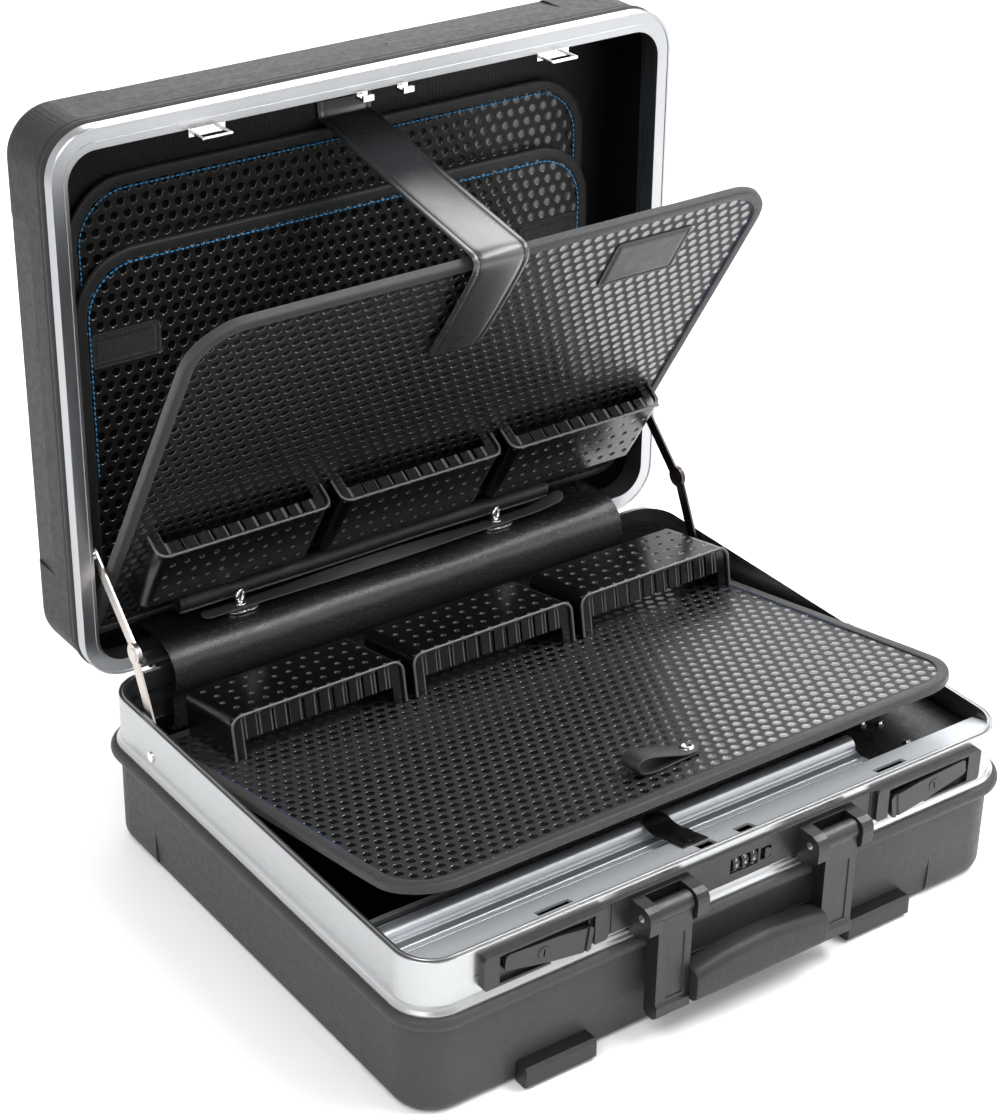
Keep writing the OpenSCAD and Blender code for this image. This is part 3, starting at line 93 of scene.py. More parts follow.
class Mat:
    """One node material, with short calls for its nodes."""

    def __init__(self, name, color, rough, metal=0.0, spec=0.5, **inputs):
        self.mat = bpy.data.materials.new(name)
        self.mat.use_nodes = True
        self.tree = self.mat.node_tree
        self.bsdf = self.tree.nodes["Principled BSDF"]
        self.set(self.bsdf, "Base Color", (*color, 1))
        self.set(self.bsdf, "Roughness", rough)
        self.set(self.bsdf, "Metallic", metal)
        self.set(self.bsdf, "Specular IOR Level", spec)
        for key, value in inputs.items():
            self.set(self.bsdf, key.replace("_", " "), value)
        self.co = self.tree.nodes.new("ShaderNodeTexCoord").outputs["Object"]
        self.normal = None

    def soft_edges(self, radius):
        """Rounds the look of sharp edges, as moulded and rolled parts have them."""
        n = self.tree.nodes.new("ShaderNodeBevel")
        n.samples = 3
        n.inputs["Radius"].default_value = radius
        self.normal = n.outputs[0]
        self.set(self.bsdf, "Normal", self.normal)

    def lattice(self, x, y, px, py, starts):
        """Distance to the nearest point of some rectangular grids with the same pitch."""
        found = None
        for sx, sy in starts:
            c = self.combine(self.math("DIVIDE", self.math("SUBTRACT", x, sx), px),
                             self.math("DIVIDE", self.math("SUBTRACT", y, sy), py))
            c = self.vec("FRACTION", self.vec("ADD", c, (0.5, 0.5, 0)))
            c = self.vec("MULTIPLY", self.vec("SUBTRACT", c, (0.5, 0.5, 0)), (px, py, 0))
            c = self.vec("LENGTH", c)
            found = c if found is None else self.math("MINIMUM", found, c)
        return found

    def placed(self, place, row):
        """One coordinate of the shaded point in the frame of a panel."""
        inv = place.inverted()[row]
        return self.math("ADD", self.vec("DOT_PRODUCT", self.co, tuple(inv[:3])), inv[3])

    def set(self, node, socket, value):
        s = node.inputs[socket]
        if isinstance(value, bpy.types.NodeSocket):
            self.tree.links.new(value, s)
        else:
            s.default_value = value

    def math(self, op, *args):
        n = self.tree.nodes.new("ShaderNodeMath")
        n.operation = op
        for i, a in enumerate(args):
            self.set(n, i, a)
        return n.outputs[0]

    def mul(self, a, b):
        return self.math("MULTIPLY", a, b)

    def add(self, a, b):
        return self.math("ADD", a, b)

    def flip(self, value):
        return self.math("SUBTRACT", 1.0, value)

    def vec(self, op, *args):
        n = self.tree.nodes.new("ShaderNodeVectorMath")
        n.operation = op
        for i, a in enumerate(args):
            if op == "SCALE" and i == 1:
                self.set(n, "Scale", a)
            else:
                self.set(n, i, a)
        return n.outputs["Value" if op in ("DOT_PRODUCT", "LENGTH") else "Vector"]

    def combine(self, x, y, z=0.0):
        n = self.tree.nodes.new("ShaderNodeCombineXYZ")
        for i, a in enumerate((x, y, z)):
            self.set(n, i, a)
        return n.outputs[0]

    def split(self, v):
        n = self.tree.nodes.new("ShaderNodeSeparateXYZ")
        self.set(n, 0, v)
        return n.outputs

    def noise(self, scale, detail=3.0, stretch=None):
        n = self.tree.nodes.new("ShaderNodeTexNoise")
        co = self.co if stretch is None else self.vec("MULTIPLY", self.co, stretch)
        self.set(n, "Vector", co)
        self.set(n, "Scale", scale)
        self.set(n, "Detail", detail)
        return n.outputs["Fac"]

    def cells(self, scale, feature="F1"):
        n = self.tree.nodes.new("ShaderNodeTexVoronoi")
        n.feature = feature
        self.set(n, "Vector", self.co)
        self.set(n, "Scale", scale)
        return n.outputs["Distance"]

    def ramp(self, value, low, high, to_low=0.0, to_high=1.0, smooth=False):
        n = self.tree.nodes.new("ShaderNodeMapRange")
        if smooth:
            n.interpolation_type = "SMOOTHSTEP"
        for i, a in enumerate((value, low, high, to_low, to_high)):
            self.set(n, i, a)
        return n.outputs[0]

    def mix(self, fac, a, b):
        n = self.tree.nodes.new("ShaderNodeMix")
        n.data_type = "RGBA"
        self.set(n, "Factor", fac)
        for key, v in (("A", a), ("B", b)):
            s = [i for i in n.inputs if i.name == key and i.type == "RGBA"][0]
            if isinstance(v, bpy.types.NodeSocket):
                self.tree.links.new(v, s)
            else:
                s.default_value = (*v, 1)
        return [o for o in n.outputs if o.type == "RGBA"][0]

    def bump(self, height, distance, strength=1.0):
        n = self.tree.nodes.new("ShaderNodeBump")
        self.set(n, "Height", height)
        self.set(n, "Distance", distance)
        self.set(n, "Strength", strength)
        if self.normal is not None:
            self.set(n, "Normal", self.normal)
        self.normal = n.outputs[0]
        self.set(self.bsdf, "Normal", self.normal)

    def color(self, value):
        self.set(self.bsdf, "Base Color", value)

    def rough(self, value):
        self.set(self.bsdf, "Roughness", value)

    def tinted(self, color, scale, detail, low, high):
        """A colour that drifts between a darker and a lighter shade."""
        return self.mix(self.noise(scale, detail), shade(color, low), shade(color, high))

    def uneven(self, scale, detail, low, high, stretch=None):
        """Roughness that wanders between two values."""
        self.rough(self.ramp(self.noise(scale, detail, stretch), 0.3, 0.7, low, high))


def inside_box(m, co, half, radius, z_low, z_high):
    """1 inside a box with rounded upright edges, 0 outside it."""
    q = m.vec("SUBTRACT", m.vec("ABSOLUTE", co), (half[0] - radius, half[1] - radius, 0))
    s = m.split(m.vec("MAXIMUM", q, (0, 0, 0)))
    flat = m.vec("LENGTH", m.combine(s[0], s[1]))
    z = m.split(co)[2]
    a = m.math("LESS_THAN", flat, radius)
    b = m.math("GREATER_THAN", z, z_low)
    c = m.math("LESS_THAN", z, z_high)
    return m.mul(m.mul(a, b), c)


def shell_material(name, lid):
    """Grained outer wall and a smoother inside painted near black as shade, told apart by a box inside the
    wall.
    """
    m = Mat(name, (0.05, 0.05, 0.052), 0.5, spec=0.24 if lid else 0.32)
    co = m.co
    if lid:
        n = m.tree.nodes.new("ShaderNodeVectorRotate")
        n.rotation_type = "X_AXIS"
        m.set(n, "Vector", co)
        m.set(n, "Center", tuple(HINGE))
        m.set(n, "Angle", OPEN_ANGLE)
        co = n.outputs[0]
        inside_shade_mask = inside_box(m, co, (0.2362, 0.1892), 0.029, 0.105, 0.1763)
    else:
        inside_shade_mask = inside_box(m, co, (0.2307, 0.1837), 0.0237, 0.003, 0.2)
    grain = m.cells(900)
    tone = m.noise(14, 4)
    k = 0.75 if lid else 1.25
    outer = m.mix(tone, shade((0.025, 0.025, 0.0258), k), shade((0.033, 0.033, 0.034), k))
    # The inside of the shell is painted near black as shade; the outside keeps its grained tone.
    m.color(m.mix(inside_shade_mask, outer, (0.0035, 0.0035, 0.0037)))
    outside = m.ramp(m.noise(240, 3), 0.3, 0.7, 0.44, 0.58)
    m.rough(m.math("SUBTRACT", outside, m.mul(inside_shade_mask, 0.16)))
    if lid:
        hatch_pitch = 0.0024
        waves = []
        for axis in ((1, 1, 1), (1, -1, 1)):
            run = m.vec("DOT_PRODUCT", m.vec("SCALE", co, 2 * math.pi / hatch_pitch), axis)
            waves.append(m.math("SINE", run))
        m.bump(m.mul(waves[0], waves[1]), 0.00012, 0.8)
    m.bump(grain, 0.00016, 0.5)
    m.bump(m.noise(700, 2), 0.00012, 0.5)
    return m.mat


def metal_material(name, color, rough, stretch, deep=0.000006, spread=0.08, tone=0.05):
    """Metal with drawn lines; stretch is small along the lines."""
    m = Mat(name, color, rough, metal=1.0)
    m.soft_edges(0.0003)
    streak = m.noise(1100, 3, stretch=stretch)
    soft = m.noise(11, 3)
    m.color(m.mix(m.mul(streak, soft), shade(color, 1 - tone), color))
    m.uneven(420, 3, max(0.05, rough - spread / 2), rough + spread / 2, stretch)
    m.bump(streak, deep, 0.5)
    return m.mat


def rail_material():
    """Rolled aluminium with light and dark bands painted strip to strip as highlight and shade."""
    m = Mat("bright_rolled_aluminium", (0.5, 0.5, 0.5), 0.3, metal=0.6)
    strip_pitch, strip_end = 0.0105, -0.1575
    y = m.split(m.co)[1]
    # Sine bands along y paint highlight and shade onto the hollow part; the flat front strip is painted one
    # light tone.
    wave = m.math("SINE", m.mul(y, 2 * math.pi / strip_pitch))
    band = m.ramp(wave, -0.7, 0.5, 0.2, 1.0, smooth=True)
    hollow = m.math("GREATER_THAN", y, strip_end)
    tone = m.add(m.mul(m.flip(hollow), 0.85), m.mul(hollow, band))
    streak = m.noise(1100, 3, stretch=(0.012, 1, 1))
    m.color(m.mix(tone, (0.19, 0.20, 0.215), (0.70, 0.72, 0.75)))
    m.rough(m.ramp(streak, 0.3, 0.7, 0.30, 0.38))
    m.bump(streak, 0.0000015, 0.4)
    return m.mat


def plastic_material(name, color, rough, scale=800, deep=0.00012, edge=0.0006, spec=0.4):
    """Moulded plastic or lacquer with a fine grain."""
    m = Mat(name, color, rough, spec=spec)
    m.soft_edges(edge)
    m.color(m.tinted(color, 30, 4, 0.8, 1.25))
    m.uneven(scale / 4, 3, max(0.08, rough - 0.06), rough + 0.06)
    m.bump(m.cells(scale), deep, 0.6)
    m.bump(m.noise(scale * 0.35, 3), deep, 0.4)
    return m.mat


def holder_material(name, place, x0, s0):
    """Glossy black nylon whose small holes have sunk rims with a painted highlight ring; x0 and s0 place the
    rows.
    """
    m = Mat(name, (0.006, 0.006, 0.0065), 0.22, spec=0.5)
    m.soft_edges(0.0007)
    x, y = m.placed(place, 0), m.mul(m.placed(place, 1), -1.0)
    d = None
    for k in (-1, 0, 1):
        xc = x0 + k * HOLDER_PITCH
        near = m.math("LESS_THAN", m.math("ABSOLUTE", m.math("SUBTRACT", x, xc)), 0.0585)
        e = m.lattice(x, y, 0.011, 0.026, ((xc - 0.0015, s0 + 0.009), (xc + 0.0015, s0 + 0.022)))
        e = m.add(e, m.flip(near))
        d = e if d is None else m.math("MINIMUM", d, e)
    tone = m.noise(60, 4)
    # A lighter ring round each hole is a painted highlight.
    rim_glint = m.mul(m.ramp(d, 0.0010, 0.0013), m.ramp(d, 0.0017, 0.0022, 1.0, 0.0))
    plain = m.mix(tone, (0.0018, 0.0018, 0.0020), (0.0035, 0.0035, 0.0037))
    m.color(m.mix(rim_glint, plain, (0.10, 0.10, 0.104)))
    m.uneven(200, 3, 0.2, 0.26)
    m.bump(m.ramp(d, 0.0011, 0.0028, 0.0, 1.0, smooth=True), 0.0011, 1.0)
    m.bump(m.noise(300, 3), 0.00003, 0.4)
    return m.mat


def dimple_material(name, place, web, well_shade, gloss=1.0):
    """Panel with staggered round wells, their floors polished and painted near black as shade; the web
    between them is matte.
    """
    m = Mat(name, web, 0.5, spec=0.5)
    x, y = m.placed(place, 0), m.placed(place, 1)
    px, py = 0.0093, 0.0174
    d = m.lattice(x, y, px, py, ((px / 4, py / 4), (px * 3 / 4, py * 3 / 4)))
    r = 0.0033
    well_mask = m.ramp(d, r - 0.00025, r + 0.00025, 1.0, 0.0, smooth=True)
    fine = m.noise(1700, 2)
    web_c = m.mix(m.ramp(fine, 0.35, 0.65, 0.0, 0.5), m.tinted(web, 34, 4, 0.8, 1.2), shade(web, 1.9))
    # The wells are painted near black as shade in the recesses.
    m.color(m.mix(well_mask, web_c, well_shade))
    m.rough(m.add(m.mul(m.flip(well_mask), m.ramp(fine, 0.3, 0.7, 0.28, 0.42)), 0.2))
    m.set(m.bsdf, "Specular IOR Level", m.add(0.3, m.mul(well_mask, 0.7 * gloss)))
    m.set(m.bsdf, "Coat Weight", m.mul(well_mask, gloss))
    m.set(m.bsdf, "Coat Roughness", 0.2)
    wall = m.ramp(d, r - 0.0009, r, 0.0, 1.0, smooth=True)
    dish = m.math("POWER", m.ramp(d, 0.0, r, 0.0, 1.0), 2.0)
    m.bump(wall, 0.0005, 0.9)
    m.bump(dish, 0.00028, 1.0)
    m.bump(m.mul(m.noise(1300, 2), m.flip(well_mask)), 0.00018, 0.6)
    return m.mat


def leather_material(name, color, rough, scale=700, deep=0.00018, coat=0.1, fuzzy=None):
    """Grained leather; below the height fuzzy it turns into a matte nap."""
    m = Mat(name, color, rough, spec=0.4, Coat_Weight=coat, Coat_Roughness=0.3)
    tinted = m.tinted(color, 24, 4, 0.75, 1.3)
    shine = m.ramp(m.noise(90, 4), 0.3, 0.7, rough - 0.05, rough + 0.07)
    crease = m.cells(scale, "DISTANCE_TO_EDGE")
    m.bump(m.ramp(crease, 0.0, 0.12, 0.0, 1.0), deep, 0.5)
    m.bump(m.noise(60, 5), 0.0004, 0.3)
    if fuzzy:
        wander = m.mul(m.math("SUBTRACT", m.noise(45, 5), 0.5), 0.006)
        z = m.add(m.split(m.co)[2], wander)
        low = m.ramp(z, fuzzy - 0.0035, fuzzy + 0.0035, 1.0, 0.0, smooth=True)
        nap = m.noise(520, 4)
        tinted = m.mix(low, tinted, (0.004, 0.004, 0.0042))
        hairs = m.mul(low, m.ramp(nap, 0.5, 0.7, 0.0, 0.8))
        tinted = m.mix(hairs, tinted, (0.020, 0.020, 0.021))
        shine = m.add(shine, m.mul(low, 0.5))
        m.set(m.bsdf, "Coat Weight", m.mul(m.flip(low), coat))
        m.bump(m.mul(low, nap), 0.0012, 0.8)
    m.color(tinted)
    m.rough(shine)
    return m.mat


def fabric_material(name, color):
    scale = 1400
    m = Mat(name, color, 0.95, spec=0.12, Sheen_Weight=0.35, Sheen_Roughness=0.5)
    m.color(m.tinted(color, scale * 0.5, 4, 0.5, 1.6))
    m.uneven(300, 2, 0.85, 1.0)
    m.bump(m.noise(scale, 4), 0.0007, 0.8)
    m.bump(m.cells(scale * 0.8), 0.0005, 0.6)
    return m.mat


def binding_material(name, color):
    m = Mat(name, color, 0.55, spec=0.4, Sheen_Weight=0.1, Sheen_Roughness=0.4)
    m.color(m.tinted(color, 60, 5, 0.8, 1.25))
    m.uneven(400, 3, 0.46, 0.62)
    m.bump(m.noise(2600, 2), 0.00022, 0.8)
    m.bump(m.noise(120, 4), 0.0004, 0.35)
    return m.mat


def thread_material(name, a, b):
    m = Mat(name, a, 0.6, spec=0.35, Sheen_Weight=0.2, Sheen_Roughness=0.4)
    m.color(m.mix(m.noise(160, 3), a, b))
    m.uneven(900, 2, 0.5, 0.7)
    m.bump(m.noise(5000, 2), 0.0001, 0.8)
    return m.mat


M = {}
M["base shell"] = shell_material("base_shell_plastic", False)
M["lid shell"] = shell_material("lid_shell_plastic", True)
M["frame"] = metal_material("satin_aluminium", (0.50, 0.505, 0.51), 0.3, (0.02, 0.02, 1),
                            deep=0.000004, tone=0.06)
M["lid frame"] = metal_material("satin_aluminium_lid", (0.46, 0.465, 0.475), 0.3, (0.02, 1, 0.02),
                                deep=0.000004, tone=0.10)
M["rail"] = rail_material()
M["steel"] = metal_material("nickel", (0.82, 0.81, 0.79), 0.12, (1, 1, 1), spread=0.06)
M["dark steel"] = plastic_material("black_lacquer", (0.010, 0.010, 0.010), 0.3, deep=0.00004)
M["stay steel"] = metal_material("warm_zinc", (0.72, 0.66, 0.62), 0.34, (1, 1, 0.06), tone=0.2)
# The right stay arms get a darker copy of the warm zinc, as painted shade.
M["stay dark"] = metal_material("shaded_zinc", (0.10, 0.085, 0.078), 0.36, (1, 1, 0.06), tone=0.3)
M["fitting"] = plastic_material("black_nylon", (0.0075, 0.0075, 0.0078), 0.36, spec=0.5, deep=0.00008)
M["lid holder"] = holder_material("lid_holder_nylon", LID_BOARD, LID_HOLDER_X, 0.057)
M["base holder"] = holder_material("base_holder_nylon", BASE_BOARD, BASE_HOLDER_X, 0.014)
M["box"] = plastic_material("box_plastic", (0.006, 0.006, 0.006), 0.3, scale=500, deep=0.00008)
M["grip"] = plastic_material("grip_rubber", (0.012, 0.012, 0.0124), 0.48, scale=1300, deep=0.0002, edge=0.001)
M["key"] = metal_material("dark_nickel", (0.06, 0.06, 0.063), 0.25, (1, 1, 1))
M["wheel"] = plastic_material("black_wheel", (0.012, 0.012, 0.0125), 0.3, deep=0.00003, edge=0.0002)
M["core"] = plastic_material("grey_lacquer", (0.018, 0.018, 0.019), 0.4)
# The second colour of each dimpled panel is the painted shade of its wells.
M["lid board"] = dimple_material("lid_board_panel", LID_BOARD, (0.0065, 0.0065, 0.0071),
                                 (0.0012, 0.0012, 0.0012), 0.8)
M["base board"] = dimple_material("base_board_panel", BASE_BOARD, (0.0165, 0.0165, 0.0175),
                                  (0.0016, 0.0016, 0.0016))
M["pocket"] = dimple_material("pocket_panel", OPEN, (0.0050, 0.0050, 0.0049),
                              (0.0008, 0.0008, 0.0008), 0.4)
M["binding"] = binding_material("board_binding_tape", (0.022, 0.022, 0.0225))
M["pocket binding"] = binding_material("pocket_binding_tape", (0.011, 0.011, 0.011))
M["leather"] = leather_material("black_leather", (0.0075, 0.0075, 0.008), 0.36)
M["cover leather"] = leather_material("cover_leather", (0.0032, 0.0032, 0.0036), 0.26, coat=0.3, fuzzy=0.1165)
M["handle leather"] = leather_material("handle_leather", (0.014, 0.014, 0.0145), 0.42)
M["strip leather"] = leather_material("strip_leather", (0.020, 0.020, 0.0205), 0.5)
M["loop leather"] = leather_material("loop_leather", (0.018, 0.0175, 0.017), 0.42)
M["strap"] = leather_material("strap_leather", (0.018, 0.018, 0.0205), 0.3, scale=900, deep=0.00005, coat=1.0)
M["fabric"] = fabric_material("black_loop_fabric", (0.005, 0.005, 0.0055))
M["blue"] = thread_material("blue_thread", (0.015, 0.16, 0.42), (0.04, 0.32, 0.62))
M["deep blue"] = thread_material("deep_blue_thread", (0.010, 0.018, 0.075), (0.02, 0.045, 0.16))
M["dark thread"] = thread_material("dark_thread", (0.004, 0.004, 0.0045), (0.014, 0.014, 0.015))
M["digit"] = plastic_material("digit_enamel", (0.52, 0.52, 0.51), 0.35, edge=0.0)
# Lighter nylon for the holders' mouth edges, as a painted highlight.
M["holder edge highlight"] = plastic_material("holder_edge_painted_highlight", (0.085, 0.085, 0.088), 0.3, edge=0.0, spec=0.6)


def stud_material():
    """Bright studs, black within 12 mm of the rail tab's middle line."""
    m = Mat("stud_metal", (0.82, 0.81, 0.79), 0.15, metal=1.0)
    away = m.math("ABSOLUTE", m.add(m.split(m.co)[0], -TAB_X))
    black = m.math("LESS_THAN", away, 0.012)
    m.color(m.mix(black, (0.82, 0.81, 0.79), (0.008, 0.008, 0.008)))
    m.set(m.bsdf, "Metallic", m.flip(black))
    m.uneven(300, 2, 0.12, 0.22)
    m.bump(m.noise(900, 2), 0.00002, 0.5)
    return m.mat


M["studs"] = stud_material()

LOOK = {}
for look, names in {
        "base shell": "base_shell", "lid shell": "lid_shell",
        "frame": "base_frame", "lid frame": "lid_frame", "rail": "front_rail divider",
        "stay steel": "stay_base_arm_left stay_lid_arm_left",
        "stay dark": "stay_base_arm_right stay_lid_arm_right",
        "lid holder": "lid_holders", "base holder": "base_holders", "box": "corner_box",
        "grip": "handle_grip", "core": "lock_works", "studs": "base_studs",
        "lid board": "lid_board", "base board": "base_board", "pocket": "front_pocket rear_pocket",
        "key": "key_core_left key_core_right",
        "dark steel": "hinge_leaves_base hinge_leaves_lid lid_board_hinge base_board_hinge "
                      "lid_board_knuckles base_board_knuckles",
        "steel": "handle_pins hinge_pins stay_rivets_base stay_rivets_lid wire_loops lid_hooks "
                 "turn_plates turn_button_left turn_button_right snap_studs",
        "fitting": "front_feet lock_strip latch_lever_left latch_lever_right release_slide "
                   "handle_brackets carry_handle",
        "wheel": "number_wheel_1 number_wheel_2 number_wheel_3",
        "leather": "flap_handle hinge_cover_lid hinge_cover_base holding_strap strap_clip "
                   "strap_anchor pull_loop divider_tab",
        "fabric": "pocket_tabs lid_board_patch",
        "binding": "lid_board_binding base_board_binding"}.items():
    for name in names.split():
        LOOK[name] = look
for name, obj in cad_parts.items():
    look = M[LOOK[name]]
    if not obj.material_slots:
        obj.data.materials.append(look)
    for s in obj.material_slots:
        s.material = look


# Mesh helpers
def piece(name, verts, faces, look, body, smooth=True, angle=40.0):
    """A mesh object that rides on a body; edges above the angle stay sharp."""
    me = bpy.data.meshes.new(name)
    me.from_pydata([tuple(v) for v in verts], [], faces)
    bm = bmesh.new()
    bm.from_mesh(me)
    bmesh.ops.recalc_face_normals(bm, faces=bm.faces)
    for f in bm.faces:
        f.smooth = smooth
    for e in bm.edges:
        if len(e.link_faces) == 2 and e.calc_face_angle(0) > math.radians(angle):
            e.smooth = False
    bm.to_mesh(me)
    bm.free()
    me.materials.append(M[look])
    ob = bpy.data.objects.new(name, me)
    scene.collection.objects.link(ob)
    if body:
        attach(ob, body)
    return ob


def skin(faces, rows, n, start=0, closed=False, capped=False):
    """Faces between rows of n points each, which follow one another from start, and at both ends."""
    for i in range(rows if closed else rows - 1):
        p = start + i * n
        q = start + (i + 1) % rows * n
        for k in range(n):
            after = (k + 1) % n
            faces.append((p + k, p + after, q + after, q + k))
    if capped:
        for first in (start, start + (rows - 1) * n):
            faces.append(tuple(range(first, first + n)))


def sweep(stations, section, closed=False):
    """A closed section carried along stations of (origin, across, out) or with a section of their own."""
    verts, faces, n = [], [], len(section)
    for st in stations:
        o, a, b = st[:3]
        sec = st[3] if len(st) > 3 else section
        verts += [o + a * p[0] + b * p[1] for p in sec]
    skin(faces, len(stations), n, closed=closed, capped=not closed)
    return verts, faces


def arc_points(cx, cy, r, a0, a1, n):
    return [(cx + r * math.cos(math.radians(a0 + (a1 - a0) * i / n)),
             cy + r * math.sin(math.radians(a0 + (a1 - a0) * i / n))) for i in range(n + 1)]


def strip_section(half, thick, n=5):
    """Closed section of a flat strip with round edges."""
    r = thick / 2
    return arc_points(half - r, 0, r, -90, 90, n) + arc_points(-half + r, 0, r, 90, 270, n)


def turned(prof, n, at):
    """Rows of points of a turned profile of (radius, height)."""
    return [at(r * math.cos(2 * math.pi * k / n), r * math.sin(2 * math.pi * k / n), h)
            for r, h in prof for k in range(n)]


def heading(points, i):
    """Direction of a path at its point i, from the points beside it."""
    return (points[min(i + 1, len(points) - 1)] - points[max(i - 1, 0)]).normalized()


def path_length(points):
    return sum((b - a).length for a, b in zip(points, points[1:]))


def outline(ax, ay, rf, rb, cy=0.0, step=12):
    """Rounded rectangle with its own radii at front (low y) and rear, as (x, y) and outward normal."""
    pts = []
    for cx, off_y, r, a in ((ax - rb, ay - rb, rb, 0), (-ax + rb, ay - rb, rb, 90),
                          (-ax + rf, -ay + rf, rf, 180), (ax - rf, -ay + rf, rf, 270)):
        for i in range(step + 1):
            t = math.radians(a + 90 * i / step)
            pts.append((cx + r * math.cos(t), cy + off_y + r * math.sin(t), math.cos(t), math.sin(t)))
    out = []
    for i, p in enumerate(pts):
        q = pts[(i + 1) % len(pts)]
        out.append(p)
        d = math.hypot(q[0] - p[0], q[1] - p[1])
        k = int(d / 0.02)
        for j in range(1, k):
            t = j / k
            out.append((p[0] + (q[0] - p[0]) * t, p[1] + (q[1] - p[1]) * t, p[2], p[3]))
    return out


def resample(points, step):
    """Points every step along a polyline, with directions."""
    out, left = [], 0.0
    for a, b in zip(points, points[1:]):
        d = b - a
        n = d.length
        if n < 1e-9:
            continue
        t = left
        while t < n:
            out.append((a + d * (t / n), d / n))
            t += step
        left = t - n
    return out


def stitches(name, points, normal, look, body, pitch=0.0038, length=0.0026, width=0.0007, high=0.0004):
    """A row of thread stitches, each a small bent bar that dips at both ends."""
    verts, faces = [], []
    for o, d in resample(points, pitch):
        nrm = normal(o) if callable(normal) else normal
        nrm = nrm.normalized()
        side = d.cross(nrm).normalized()
        base = len(verts)
        for t, h, w in ((-0.5, -0.1, 0.5), (-0.36, 0.55, 0.9), (-0.12, 0.95, 1.0),
                        (0.12, 0.95, 1.0), (0.36, 0.55, 0.9), (0.5, -0.1, 0.5)):
            c = o + d * (t * length)
            for s, u in ((-0.5, 0.0), (-0.3, 0.8), (0.3, 0.8), (0.5, 0.0), (0.0, -0.3)):
                verts.append(c + side * (s * width * w) + nrm * (high * (h + (u - 0.4) * 0.9)))
        skin(faces, 6, 5, base, capped=True)
    return piece(name, verts, faces, look, body)


# Bindings and their thread
def tape(name, place, ax, ay, rf, rb, cy, zmid, half, wide, look, body):
    """A U of tape folded over a panel's edge, slightly uneven as sewn tape is."""
    r = min(half, 0.0016)
    sec = [(-wide, -half + 0.0004)] + [(-wide + 0.0006, -half)] + \
        arc_points(-r, -half + r, r, -90, 0, 5) + arc_points(-r, half - r, r, 0, 90, 5) + \
        [(-wide + 0.0006, half), (-wide, half - 0.0004)]
    st = []
    for x, y, nx, ny in outline(ax, ay, rf, rb, cy):
        wob = 0.00012 * math.sin(x * 310 + y * 190) + 0.00008 * math.sin(x * 97 - y * 233)
        st.append((Vector((x + nx * wob, y + ny * wob, zmid)), Vector((nx, ny, 0)), Vector((0, 0, 1))))
    v, f = sweep(st, sec, closed=True)
    return piece(name, [place @ p for p in v], f, look, body, angle=60)


def edge_stitches(name, place, ax, ay, rf, rb, cy, z, face, inset, body, keep, look="blue", **kw):
    """Stitches beside a panel's edge, for the points that keep picks."""
    pts = outline(ax - inset, ay - inset, max(rf - inset, 0.004), max(rb - inset, 0.004), cy)
    line = [Vector((p[0], p[1], z)) for p in pts] + [Vector((pts[0][0], pts[0][1], z))]
    runs, run = [], []
    for p in line:
        if keep(p):
            run.append(p)
        elif run:
            runs.append(run)
            run = []
    if run:
        runs.append(run)
    n = (place.to_3x3() @ Vector((0, 0, face))).normalized()
    for i, run in enumerate(runs):
        if len(run) > 1:
            stitches(f"{name}_{i}", [place @ p for p in run], n, look, body, **kw)


KEEP = {"lid_board": lambda p: p.x > 0.19 and p.y < -0.12,
        "base_board": lambda p: (p.x < -0.19 and -0.25 < p.y < -0.06) or (p.x > 0.2 and -0.2 < p.y)}
for nm, place, long, face in (("lid_board", LID_BOARD, LID_L, -1), ("base_board", BASE_BOARD, BASE_L, 1)):
    ay = (long - BOARD_GAP) / 2
    cy = -(long + BOARD_GAP) / 2
    ob = tape(nm + "_tape", place, BOARD_HALF, ay, FREE_R, HINGE_R, cy, 0.0, 0.0032, 0.0078, "binding", nm)
    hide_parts(nm + "_binding")
    edge_stitches(nm + "_thread", place, BOARD_HALF, ay, FREE_R, HINGE_R, cy, face * 0.0024, face, 0.0086,
                  nm, KEEP[nm], look="deep blue")

pocket_place = OPEN @ Matrix.Translation((0, POCKET_FOOT, 0))
for nm, h, z in (("front", FRONT_POCKET, 0.1605), ("rear", REAR_POCKET, 0.1675)):
    tape(nm + "_pocket_tape", pocket_place, POCKET_HALF, h / 2 + 0.0004, POCKET_TOP_R, POCKET_FOOT_R, -h / 2,
         z + 0.00125, 0.0019, 0.0075, "pocket binding", "lid")
    edge_stitches(nm + "_pocket_thread", pocket_place, POCKET_HALF, h / 2, POCKET_TOP_R, POCKET_FOOT_R,
                  -h / 2, z - 0.0007, -1, 0.0088, "lid", lambda p: p.y < -0.08, width=0.0010, high=0.0006)


